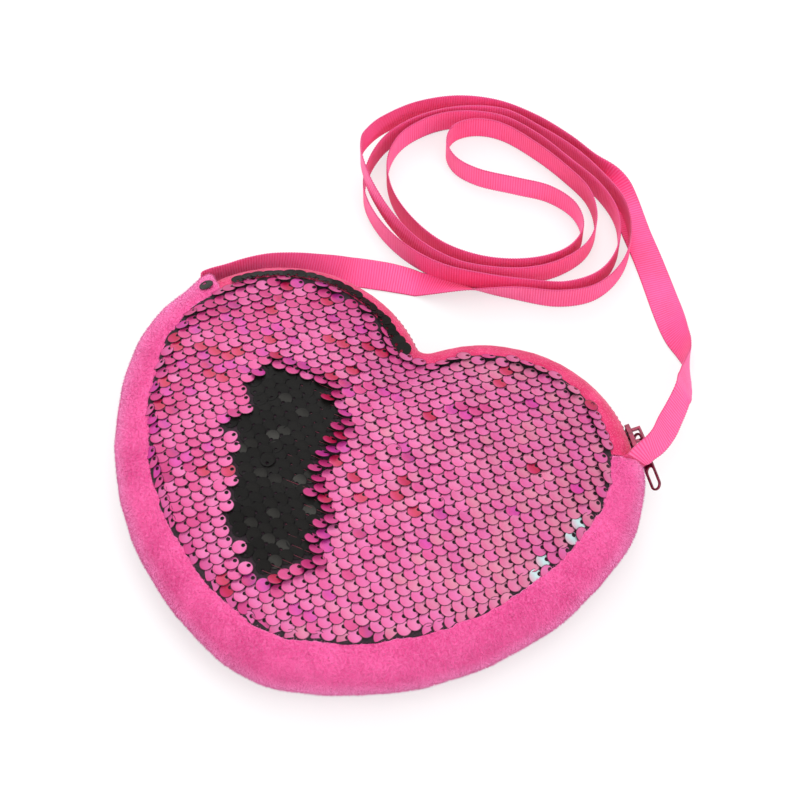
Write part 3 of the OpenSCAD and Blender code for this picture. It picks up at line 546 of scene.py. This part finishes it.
rim_bm = copy_of("front_backing")
rim_points = []
for edge in rim_bm.edges:
    first, last = (v.co for v in edge.verts)
    if max(abs(first.z - seam_z), abs(last.z - seam_z)) > seam_slack:
        continue
    outwards = Vector((last.y - first.y, first.x - last.x, 0)).normalized()
    if cloth_at(*((first + last) / 2 + seam_probe * outwards).xy) is not None:
        outwards = -outwards
    rim_points += [(first.lerp(last, k / edge_parts), outwards) for k in range(edge_parts)]
rim_bm.free()
rim_tree = KDTree(len(rim_points))
for i, (point, _) in enumerate(rim_points):
    rim_tree.insert(point, i)
rim_tree.balance()


def seam_at(x, y):
    """How far a place lies inside the front seam, and the way out across the seam there."""
    point, i, _ = rim_tree.find(Vector((x, y, seam_z)))
    outwards = rim_points[i][1]
    return (point - Vector((x, y, seam_z))).dot(outwards), outwards


def lap_over(made, inwards, upwards):
    """The front seam draws a piece inwards, so its border laps over the outermost sequins."""
    for v in made.data.vertices:
        inside, out = seam_at(v.co.x, v.co.y)
        risen = min(max((v.co.z - lap_from_z) / lap_rise, 0), 1)
        share = risen * min(max(1 + inside / lap_reach, 0), 1)
        v.co += share * Vector((-inwards * out.x, -inwards * out.y, upwards))


lap_over(plush_edge, lap_in, lap_up)

# At each end the plush is turned in and stands a little full, up against the zip.
for v in plush_edge.data.vertices:
    for side, end_deg, stretch_deg, puff in end_puffs:
        arm = Vector((side * v.co.x - lobe_x, v.co.y - lobe_y))
        at_deg = math.degrees(math.atan2(arm.y, arm.x))
        if side * v.co.x < lobe_x or not end_deg - turned_in_deg < at_deg < end_deg + past_end_deg:
            continue
        share = min((at_deg - end_deg + turned_in_deg) / turned_in_deg, 1) ** 2
        arm = Matrix.Rotation(math.radians(share * stretch_deg), 2) @ arm
        arm *= 1 + share * puff * mm * max(0, arm.length - lobe_r) / edge_r / arm.length
        v.co.x, v.co.y = side * (lobe_x + arm.x), lobe_y + arm.y

# Only the outer side of the plush has its pile: the faces that look away from the hollow inside.
lining_tree = surface_of("gusset_lining")


def outer_faces(source):
    """A bmesh of the faces of a mesh that look away from the lining."""
    bm = bmesh.new()
    bm.from_mesh(source)
    inner = []
    for face in bm.faces:
        middle = face.calc_center_median()
        nearest, _, _, _ = lining_tree.find_nearest(middle)
        if (middle - nearest).dot(face.normal) < 0:
            inner.append(face)
    bmesh.ops.delete(bm, geom=inner, context="FACES")
    return bm


plant_pile(
    "plush_edge_pile", outer_faces(plush_edge.data),
    comb=(0.35, -0.35, -0.25), density=edge_pile_density, seed=3)

plush_back = add_piece("plush_back", copy_of("back_panel"), [plush_finish])
soften(plush_back, voxel=0.7 * mm, rounds=2, inset=0.3 * mm, dent=0.1 * mm, dent_size=18 * mm)
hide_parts("back_panel")
under_bm = bmesh.new()
under_bm.from_mesh(plush_back.data)
bmesh.ops.delete(under_bm, geom=[f for f in under_bm.faces if f.normal.z > -0.5], context="FACES")
bmesh.ops.translate(under_bm, verts=under_bm.verts, vec=(0, 0, 0.35 * mm))
plant_pile("plush_back_pile", under_bm, comb=(0.9, -0.9, 0.5), density=back_pile_density, seed=5)


# Lining: thin woven cloth behind the front, the back and the plush edge. It is cut to the same
# shapes, and it lies loosely against them, so it has soft wrinkles.
lining_wrinkle = 0.06 * mm
wrinkle_size = 9 * mm
lining_finish, lining_nodes, lining_shader = new_finish("woven_lining", 0.6)
lining_spots = add_node(lining_nodes, "ShaderNodeTexCoord").outputs["Object"]
lining_threads = add_node(lining_nodes, "ShaderNodeTexWave", {"bands_direction": "DIAGONAL"},
                          Vector=lining_spots, Scale=1300, Distortion=0.6)
lining_mottle = add_node(lining_nodes, "ShaderNodeTexNoise", Vector=lining_spots, Scale=120, Detail=3)
lining_colour = ramp(lining_nodes, lining_mottle.outputs["Fac"], (0.3, srgb(214, 70, 128)),
                     (0.7, srgb(232, 96, 150)))
lining_nodes.links.new(lining_colour, lining_shader.inputs["Base Color"])
bumped(lining_nodes, lining_shader, lining_threads.outputs["Fac"], 0.05 * mm)
for node_name in ("back_lining", "front_lining", "gusset_lining"):
    lining_bm = copy_of(node_name)
    bmesh.ops.subdivide_edges(lining_bm, edges=lining_bm.edges, cuts=1, use_grid_fill=True)
    for v in lining_bm.verts:
        v.co.z += lining_wrinkle * noise.noise(v.co / wrinkle_size)
    lining = add_piece(node_name + "_cloth", lining_bm, [lining_finish], smooth=False)
    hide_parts(node_name)


# Zip: two knitted tapes sewn between the front and the back from lobe to lobe, with nylon teeth
# along their edges. The tapes are soft and stand a little wavy.
tape_wave = 0.45 * mm
tape_wave_size = 7 * mm
tape_lap_in = 0.8 * mm
tape_lap_up = 0.4 * mm
tape_finish, tape_tree, tape_shader = new_finish("knitted_tape", 0.8)
tape_spots = add_node(tape_tree, "ShaderNodeTexCoord").outputs["Object"]
tape_knit = add_node(tape_tree, "ShaderNodeTexVoronoi", Vector=tape_spots, Scale=1500)
tape_mottle = add_node(tape_tree, "ShaderNodeTexNoise", Vector=tape_spots, Scale=160, Detail=4)
tape_colour = ramp(
    tape_tree, tape_mottle.outputs["Fac"], (0.3, srgb(194, 28, 84)), (0.7, srgb(219, 54, 112)))
tape_specks = ramp(
    tape_tree, tape_knit.outputs["Distance"], (0.0, (0.55, 0.55, 0.55, 1)), (0.45, (0, 0, 0, 1)))
tape_colour = mixed(tape_tree, tape_specks, tape_colour, srgb(243, 114, 158))
tape_tree.links.new(tape_colour, tape_shader.inputs["Base Color"])
tape_shader.inputs["Sheen Weight"].default_value = 0.2
tape_shader.inputs["Specular IOR Level"].default_value = 0.2
bumped(tape_tree, tape_shader, tape_knit.outputs["Distance"], 0.2 * mm)
for node_name in ("zipper_tape_front", "zipper_tape_back"):
    tape_bm = copy_of(node_name)
    bmesh.ops.subdivide_edges(tape_bm, edges=tape_bm.edges, cuts=2, use_grid_fill=True)
    for v in tape_bm.verts:
        v.co.z += tape_wave * noise.noise(Vector((v.co.x, v.co.y, 0)) / tape_wave_size)
    tape = add_piece(node_name + "_knit", tape_bm, [tape_finish], smooth=False)
    lap_over(tape, tape_lap_in, tape_lap_up)
    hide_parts(node_name)

teeth_finish, teeth_tree, teeth_shader = new_finish("nylon_teeth", 0.4)
teeth_spots = add_node(teeth_tree, "ShaderNodeTexCoord").outputs["Object"]
teeth_mottle = add_node(teeth_tree, "ShaderNodeTexNoise", Vector=teeth_spots, Scale=500, Detail=2)
teeth_colour = ramp(
    teeth_tree, teeth_mottle.outputs["Fac"], (0.35, srgb(120, 18, 52)), (0.65, srgb(190, 60, 100)))
teeth_tree.links.new(teeth_colour, teeth_shader.inputs["Base Color"])
for node_name in ("zipper_teeth_front", "zipper_teeth_back", "zipper_top_stops", "zipper_bottom_stop"):
    nodes[node_name].data.materials.clear()
    nodes[node_name].data.materials.append(teeth_finish)


# Slider and pull: die-cast metal in dark crimson enamel. The pull is a strip with an open eye at
# each end, and it hangs from the slider's crown.
enamel_finish, enamel_tree, enamel_shader = new_finish("crimson_enamel", 0.28)
enamel_spots = add_node(enamel_tree, "ShaderNodeTexCoord").outputs["Object"]
enamel_wear = add_node(enamel_tree, "ShaderNodeTexNoise", Vector=enamel_spots, Scale=700, Detail=3)
enamel_colour = ramp(
    enamel_tree, enamel_wear.outputs["Fac"], (0.35, srgb(92, 8, 36)), (0.7, srgb(138, 24, 64)))
enamel_tree.links.new(enamel_colour, enamel_shader.inputs["Base Color"])
enamel_shader.inputs["Metallic"].default_value = 0.65
enamel_shader.inputs["Coat Weight"].default_value = 0.3
for node_name, body in (("slider_body", "slider"), ("pull_tab", "pull")):
    cast_bm = copy_of(node_name)
    metal = add_piece(node_name + "_cast", cast_bm, [enamel_finish], body, smooth=False)
    rounding = metal.modifiers.new("rounding", "BEVEL")
    rounding.width = 0.16 * mm
    rounding.segments = 2
    rounding.limit_method = "ANGLE"
    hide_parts(node_name)


# Front cloth: a dark knitted base, domed by what the purse is filled with. The sequins are sewn
# to it, and it shows as dark gaps between them.
base_finish, base_tree, base_shader = new_finish("dark_base_cloth", 0.9)
base_spots = add_node(base_tree, "ShaderNodeTexCoord").outputs["Object"]
base_knit = add_node(base_tree, "ShaderNodeTexVoronoi", Vector=base_spots, Scale=1100)
base_colour = ramp(
    base_tree, base_knit.outputs["Distance"], (0.1, srgb(46, 14, 34)), (0.6, srgb(20, 6, 16)))
base_tree.links.new(base_colour, base_shader.inputs["Base Color"])
bumped(base_tree, base_shader, base_knit.outputs["Distance"], 0.15 * mm)
front_bm = copy_of("front_backing")
bmesh.ops.subdivide_edges(front_bm, edges=front_bm.edges, cuts=1, use_grid_fill=True)
front_cloth = add_piece("front_base_cloth", front_bm, [base_finish])
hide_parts("front_backing")


# Sequins: flat film discs, 4.8 mm across, pink on one side and black on the other. Each hangs by a
# hole near its upper edge, so it can be brushed over; a patch and a fringe are turned to black.
sequin_r = 2.42 * mm
sequin_t = 0.1 * mm
sequin_cup = 0.07 * mm
hole_r = 0.56 * mm
hole_offset = 1.3 * mm
sequin_sides = 16
sequin_pitch = 4.88 * mm
row_step = 2.71 * mm
sequin_tilt = math.radians(8)
black_tilt = math.radians(4.5)
seam_reach = 1.1 * mm
fringe_pitch = 3.3 * mm
fringe_out = 0.5 * mm
fringe_reach = 0.3 * mm
fringe_follow = 0.6
full_face_x = -9 * mm
full_face_turn, full_face_roll = 172, 6
side_turns, side_roll = (174, 186), 34
edge_margin = 0.4 * mm
edge_roll, edge_roll_reach = 30, 4.5 * mm
zip_roll, seam_roll_reach = 24, 1.6 * mm
patch_ragged = 0.7 * mm
patch_rise = 0.25 * mm
beside_stand, above_stand = (16, 30), (8, 18)
heading_spread = 0.06
sway_deg, sway_size, sway_spread = 3.5, 11 * mm, 0.035
rock_deg, rock_size, rock_spread = 4, 9 * mm, 0.03
painted_glint_r = 1.9 * mm
zip_side = 42 * mm
half_width = lobe_x + lobe_r
flip_cells = [(2, 4), (6, 0), (3, -9), (-5, -4)]
patch_shares = [
    (-0.54, 0.30), (-0.40, 0.31), (-0.25, 0.28), (-0.15, 0.20), (-0.16, 0.08), (-0.14, -0.01),
    (-0.11, -0.15), (-0.03, -0.24), (-0.01, -0.34), (0.01, -0.43), (0, -0.51), (-0.15, -0.59),
    (-0.21, -0.55), (-0.30, -0.48), (-0.38, -0.44), (-0.35, -0.38), (-0.42, -0.27), (-0.44, -0.15),
    (-0.49, -0.08), (-0.58, -0.01), (-0.49, 0.07), (-0.54, 0.17),
]
patch = [(half_width * x, half_width * y) for x, y in patch_shares]
# Painted glints: discs near these places take a pale tone, a painted highlight where the lamps would
# glare on the film.
painted_glints = [
    (71.7, 14.5), (71.5, 9.5), (67.3, -2), (69.5, -3.8),
    (65.2, -13), (67.5, -8), (23.6, -54), (-19.5, -55.5),
]
strays = [(-74.6, 45.1)]
stray_lift = 0.4 * mm
flip_lift = 0.45 * mm
disc_gap = 0.1 * mm
dice = random.Random(11)


def place_of(cell):
    """The middle of a sequin that lies pink side up in a cell of the rows."""
    return (cell[0] + (0.5 if cell[1] % 2 else 0)) * sequin_pitch, cell[1] * row_step


def in_patch(x, y):
    """Whether a place is inside the patch that is brushed to black."""
    inside = False
    for (ax, ay), (bx, by) in zip(patch, patch[1:] + patch[:1]):
        if (ay > y) != (by > y) and x < ax + (bx - ax) * (y - ay) / (by - ay):
            inside = not inside
    return inside


def in_fringe(x, y):
    """Whether a place is beside the black fringe along the left lobe's upper edge."""
    a = math.degrees(math.atan2(y - lobe_y, x + lobe_x))
    return x < -1 * mm and 38 < a < 138 and y > zip_side


def sequin_film(name, face_colour_stops, free_end_shade_colour, rim_shadow_and_hole_colour, roughness, metallic):
    """A film finish in the disc's own tone, with painted shade that deepens it towards its free end, and
    a dark rim that is partly the cut edge and partly painted contact shadow.
    """
    made, tree, shader = new_finish(name, roughness)
    tone = add_node(tree, "ShaderNodeAttribute", {"attribute_name": "tone"})
    spots = add_node(tree, "ShaderNodeTexCoord").outputs["Object"]
    drift = add_node(tree, "ShaderNodeTexNoise", Vector=spots, Scale=240, Detail=1)
    shift = number(tree, "MULTIPLY", number(tree, "SUBTRACT", drift.outputs["Fac"], 0.5), 0.16)
    colour = ramp(tree, number(tree, "ADD", tone.outputs["Fac"], shift), *face_colour_stops)
    spot = add_node(tree, "ShaderNodeUVMap", {"uv_map": "disc"})
    reach = add_node(tree, "ShaderNodeVectorMath", {"operation": "LENGTH"})
    tree.links.new(spot.outputs[0], reach.inputs[0])
    split = add_node(tree, "ShaderNodeSeparateXYZ", Vector=spot.outputs[0])
    # Painted shade: the disc is painted deeper towards its free end.
    downwards = number(tree, "MULTIPLY", split.outputs["Y"], -1)
    low = ramp(tree, downwards, (0.0, (0, 0, 0, 1)), (0.9, (0.6, 0.6, 0.6, 1)))
    colour = mixed(tree, low, colour, free_end_shade_colour)
    hole_reach = add_node(tree, "ShaderNodeVectorMath", {"operation": "DISTANCE"})
    tree.links.new(spot.outputs[0], hole_reach.inputs[0])
    hole_reach.inputs[1].default_value = (0, hole_offset / sequin_r, 0)
    pierced = ramp(tree, hole_reach.outputs["Value"], (0.26, white), (0.31, (0, 0, 0, 1)))
    colour = mixed(tree, pierced, colour, rim_shadow_and_hole_colour)
    # Painted contact shadow: the outer rim is painted dark, partly the film's dark cut edge and partly
    # the shadow at its edge.
    rim = ramp(tree, reach.outputs["Value"], (0.88, (0, 0, 0, 1)), (0.93, (0.9, 0.9, 0.9, 1)))
    colour = mixed(tree, rim, colour, rim_shadow_and_hole_colour)
    tree.links.new(colour, shader.inputs["Base Color"])
    shader.inputs["Metallic"].default_value = metallic
    return made, shader


# The pink film's last, pale stop is the painted glint colour; its magenta and purple stops are painted
# iridescent glints.
pink_film, pink_shader = sequin_film(
    "pink_film",
    [(0.0, srgb(188, 108, 136)), (0.25, srgb(194, 90, 146)), (0.5, srgb(186, 60, 122)),
     (0.6, srgb(174, 42, 104)), (0.68, srgb(188, 54, 142)), (0.76, srgb(152, 36, 118)),
     (0.83, srgb(164, 18, 64)), (0.95, srgb(172, 22, 66)), (1.0, srgb(176, 200, 202))],
    # painted shade at the free end, then the dark rim colour with its painted contact shadow
    srgb(190, 40, 108), srgb(58, 6, 32), 0.36, 0.12)
pink_shader.inputs["Specular IOR Level"].default_value = 0.35
# The black film's lightest stop is a painted highlight grey.
black_film, black_shader = sequin_film(
    "black_film", [(0.0, srgb(7, 6, 5)), (0.7, srgb(16, 14, 12)), (1.0, srgb(54, 53, 50))],
    # painted shade at the free end, then the dark rim colour with its painted contact shadow
    srgb(12, 10, 9), srgb(5, 4, 4), 0.5, 0)
black_shader.inputs["Specular IOR Level"].default_value = 0.1

disc_bm = bmesh.new()
disc_uv = disc_bm.loops.layers.uv.new("disc")
rings = []
for ring_r, ring_y, ring_z in (
    (sequin_r, 0, -sequin_cup),
    (0.72 * sequin_r, 0.12 * hole_offset, -0.1 * sequin_cup),
    (hole_r, hole_offset, 0),
):
    ring = bmesh.ops.create_circle(
        disc_bm, segments=sequin_sides, radius=ring_r, matrix=Matrix.Translation((0, ring_y, ring_z)))
    rings.append([e for e in disc_bm.edges if all(v in ring["verts"] for v in e.verts)])
bmesh.ops.bridge_loops(disc_bm, edges=rings[0] + rings[1])
bmesh.ops.bridge_loops(disc_bm, edges=rings[1] + rings[2])
bmesh.ops.recalc_face_normals(disc_bm, faces=disc_bm.faces)
if sum(f.normal.z for f in disc_bm.faces) < 0:
    bmesh.ops.reverse_faces(disc_bm, faces=disc_bm.faces)
bmesh.ops.solidify(disc_bm, geom=disc_bm.faces[:], thickness=sequin_t)
for face in disc_bm.faces:
    face.material_index = 0 if face.normal.z > 0.3 else 1
    for loop in face.loops:
        loop[disc_uv].uv = (loop.vert.co.x / sequin_r, loop.vert.co.y / sequin_r)
bmesh.ops.translate(disc_bm, verts=disc_bm.verts, vec=(0, -hole_offset, 0))
disc_mesh = bpy.data.meshes.new("disc")
disc_bm.to_mesh(disc_mesh)
disc_bm.free()
disc_mesh.attributes.new("tone", "FLOAT", "POINT")


def seat(hole, turn, lift, roll):
    """How a disc lies that is sewn by its hole: turn is 0 for pink up, 180 for black up, and roll
    tips it outwards over the seam, all in degrees."""
    found = cloth_at(*hole)
    point, normal = found if found else (Vector((*hole, seam_z)), Vector((0, 0, 1)))
    slope = normal.to_track_quat("Z", "Y").to_matrix().to_4x4()
    flat_y = slope.inverted() @ Vector((0, 1, 0))
    heading = math.atan2(-flat_y.x, flat_y.y) + dice.gauss(0, heading_spread)
    sway = math.radians(sway_deg) * noise.noise(Vector((*hole, 0.02)) / sway_size)
    sway += dice.gauss(0, sway_spread)
    rock = math.radians(rock_deg) * noise.noise(Vector((*hole, 0.05)) / rock_size)
    rock += dice.gauss(0, rock_spread)
    out = seam_at(*hole)[1]
    tipped = Matrix.Rotation(math.radians(roll), 4, Vector((-out.y, out.x, 0)))
    return (
        Matrix.Translation(point + lift * normal) @ tipped
        @ slope @ Matrix.Rotation(heading, 4, "Z") @ Matrix.Rotation(sway, 4, "Y")
        @ Matrix.Rotation(-math.radians(turn) - rock, 4, "X"))


def add_disc(bm, matrix, tone, spin=0.6):
    """Adds a disc of that tone to a bmesh, turned about its middle so that its hole is to the right."""
    one = disc_mesh.copy()
    to_middle = Matrix.Translation((0, -hole_offset, 0))
    spun = Matrix.Rotation(-spin - dice.gauss(0, 0.2), 4, "Z")
    one.transform(matrix @ to_middle @ spun @ to_middle.inverted())
    one.attributes["tone"].data.foreach_set("value", [tone] * len(one.vertices))
    bm.from_mesh(one)
    bpy.data.meshes.remove(one)


def pink_tone(x, y):
    """Dusty to hot pink, with magenta and red in clusters, more of them on the left; the magenta and
    purple tones are painted iridescent glints, and discs at the painted glints get the pale tone of a
    painted highlight.
    """
    # Discs at the painted glints take tone 1.1, the pale painted highlight.
    if any(math.hypot(x - gx * mm, y - gy * mm) < painted_glint_r for gx, gy in painted_glints):
        return 1.1
    drift = noise.noise(Vector((x / 12, y / 4, 0.3 * mm)) / mm)
    leftness = 0.5 - x / (2 * half_width)
    draw = drift + dice.gauss(0, 0.22)
    # Magenta and purple tones: painted iridescent glints, put on discs in clusters.
    if draw > 0.72 - 0.34 * leftness:
        return 0.7 if dice.random() > 0.25 else 0.78
    if draw < -0.78 + 0.3 * leftness:
        return 0.86
    return min(max(0.06 + 0.46 * leftness + 0.25 * drift + dice.gauss(0, 0.09), 0), 0.58)


def black_tone():
    """Most are dull black; some are painted lighter grey, a painted highlight."""
    return dice.uniform(0.75, 1.0) if dice.random() > 0.86 else abs(dice.gauss(0, 0.3))


cells = [(column, row) for row in range(-40, 41) for column in range(-20, 21)]
black_cells = set()
for cell in cells:
    x, y = place_of(cell)
    if in_patch(x + dice.gauss(0, patch_ragged), y + dice.gauss(0, patch_ragged)):
        black_cells.add(cell)
pink_bm = bmesh.new()
black_bm = bmesh.new()
lift = hole_offset * math.tan(sequin_tilt) + sequin_t / 2 + disc_gap
black_lift = hole_offset * math.tan(black_tilt) + sequin_t / 2 + disc_gap
tilt_deg, black_tilt_deg = math.degrees(sequin_tilt), math.degrees(black_tilt)
for cell in cells:
    column, row = cell
    x, y = place_of(cell)
    hole = (x, y + hole_offset)
    inside = seam_at(*hole)[0]
    middle_inside = seam_at(x, y)[0]
    by_zip = y > zip_side
    reach = fringe_reach if in_fringe(*hole) else seam_reach
    if cell in flip_cells or inside < -reach or not by_zip and middle_inside < edge_margin:
        continue
    at_seam = min(max(1 - inside / seam_roll_reach, 0), 1)
    at_edge = min(max(1 - middle_inside / edge_roll_reach, 0), 1)
    if cell in black_cells:
        add_disc(black_bm, seat(hole, 180 - black_tilt_deg, black_lift, 0), black_tone(), 0)
    else:
        above = (column, row - 2) in black_cells or (column + row % 2 - 1, row - 1) in black_cells
        beside = (column - 1, row) in black_cells
        stand = dice.uniform(*beside_stand) if beside else dice.uniform(*above_stand) if above else 0
        to_the_left = (column + 1, row) in black_cells or (column + row % 2, row - 1) in black_cells
        around = above or beside or to_the_left
        # Standing discs take one of four listed tones; 0.7 among them is the magenta painted glint.
        tone = dice.choice((0.5, 0.58, 0.7, 0.88)) if stand > 12 else pink_tone(x, y)
        roll = zip_roll * at_seam if by_zip else edge_roll * at_edge
        disc_lift = lift + (patch_rise if around else 0)
        add_disc(pink_bm, seat(hole, tilt_deg + stand, disc_lift, roll), tone)
rim_walk = sorted(rim_points, key=lambda pair: math.atan2(pair[0].y - lobe_y, pair[0].x + lobe_x))
last = None
for point, out in rim_walk:
    if not in_fringe(*point.xy) or last and (point - last).length < fringe_pitch:
        continue
    last = point
    full_face = point.x > full_face_x
    turn = full_face_turn if full_face else dice.uniform(*side_turns)
    roll = full_face_roll if full_face else side_roll
    hole = tuple((point + fringe_out * out).xy)
    fringe_seat = seat(hole, turn, lift + dice.uniform(0.1, 0.5) * mm, roll)
    heading = math.atan2(-out.x, out.y) * fringe_follow
    add_disc(black_bm, fringe_seat @ Matrix.Rotation(-heading, 4, "Z"), tone=0.2, spin=0)
plush_bm = bmesh.new()
plush_bm.from_mesh(plush_edge.data)
plush_surface = BVHTree.FromBMesh(plush_bm)
for stray_x, stray_y in strays:
    above = Vector((stray_x * mm, stray_y * mm, 60 * mm))
    point, normal, _, _ = plush_surface.ray_cast(above, Vector((0, 0, -1)))
    sloped = normal.to_track_quat("Z", "Y").to_matrix().to_4x4()
    turned_over = Matrix.Rotation(math.pi, 4, "X")
    lying = Matrix.Translation(point + stray_lift * normal) @ sloped @ turned_over
    # The stray disc takes the black film's lightest tone, a painted highlight.
    add_disc(black_bm, lying, tone=1.2, spin=0)
films = [pink_film, black_film]
pink_field = add_piece("sequin_field_pink", pink_bm, films, smooth=False)
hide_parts("sequins_pink")
black_field = add_piece("sequin_field_black", black_bm, films, smooth=False)
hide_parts("sequins_black")
for i, cell in enumerate(flip_cells):
    x, y = place_of(cell)
    turned = in_patch(x, y)
    one_bm = bmesh.new()
    turn = 180 - black_tilt_deg if turned else tilt_deg
    disc_seat = seat((x, y + hole_offset), turn, (black_lift if turned else lift) + flip_lift, 0)
    add_disc(one_bm, disc_seat, 0.2 if turned else 0.4, 0 if turned else 0.6)
    which = str(i + 1)
    one = add_piece("turning_disc_" + which, one_bm, films, "turning_sequin_" + which, False)
    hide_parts("flip_sequin_" + which)


# Sequin threads: each disc is held through its hole, row after row. The runs made here are those
# that show, where the discs stand up along the right side of the black patch.
sequin_thread_r = 0.07 * mm
thread_over = 0.2 * mm
sequin_thread_bm = bmesh.new()
for cell in sorted(black_cells):
    if (cell[0] + 2, cell[1]) in black_cells:
        continue
    places = (place_of(cell), place_of((cell[0] + 1, cell[1])))
    ends = [Vector((x, y + hole_offset, 0)) for x, y in places]
    ends = [end + Vector((0, 0, cloth_at(*end.xy)[0].z + black_lift + thread_over)) for end in ends]
    run = ends[1] - ends[0]
    along_run = run.to_track_quat("Z", "Y").to_matrix().to_4x4()
    bmesh.ops.create_cone(
        sequin_thread_bm, segments=5, radius1=sequin_thread_r, radius2=sequin_thread_r, depth=run.length,
        matrix=Matrix.Translation((ends[0] + ends[1]) / 2) @ along_run)
sequin_thread_finish, sequin_thread_tree, _ = new_finish("sequin_thread", 0.6)
sequin_thread_spots = add_node(sequin_thread_tree, "ShaderNodeTexCoord").outputs["Object"]
sequin_thread_twist = add_node(
    sequin_thread_tree, "ShaderNodeTexNoise", Vector=sequin_thread_spots, Scale=2500)
sequin_thread_colour = ramp(
    sequin_thread_tree, sequin_thread_twist.outputs["Fac"],
    (0.35, srgb(84, 10, 32)), (0.65, srgb(120, 22, 52)))
sequin_thread_tree.links.new(
    sequin_thread_colour, sequin_thread_tree.nodes["Principled BSDF"].inputs["Base Color"])
add_piece("sequin_threads", sequin_thread_bm, [sequin_thread_finish])


# Sewing thread: the stitches that hold the front and the back to the plush edge and the tapes.
thread_finish, thread_tree, thread_shader = new_finish("twisted_thread", 0.7)
thread_spots = add_node(thread_tree, "ShaderNodeTexCoord").outputs["Object"]
thread_twist = add_node(thread_tree, "ShaderNodeTexNoise", Vector=thread_spots, Scale=3000, Detail=1)
thread_colour = ramp(
    thread_tree, thread_twist.outputs["Fac"], (0.35, srgb(150, 22, 70)), (0.65, srgb(200, 48, 104)))
thread_tree.links.new(thread_colour, thread_shader.inputs["Base Color"])
for node_name in ("front_seam_thread", "back_seam_thread"):
    nodes[node_name].data.materials.clear()
    nodes[node_name].data.materials.append(thread_finish)
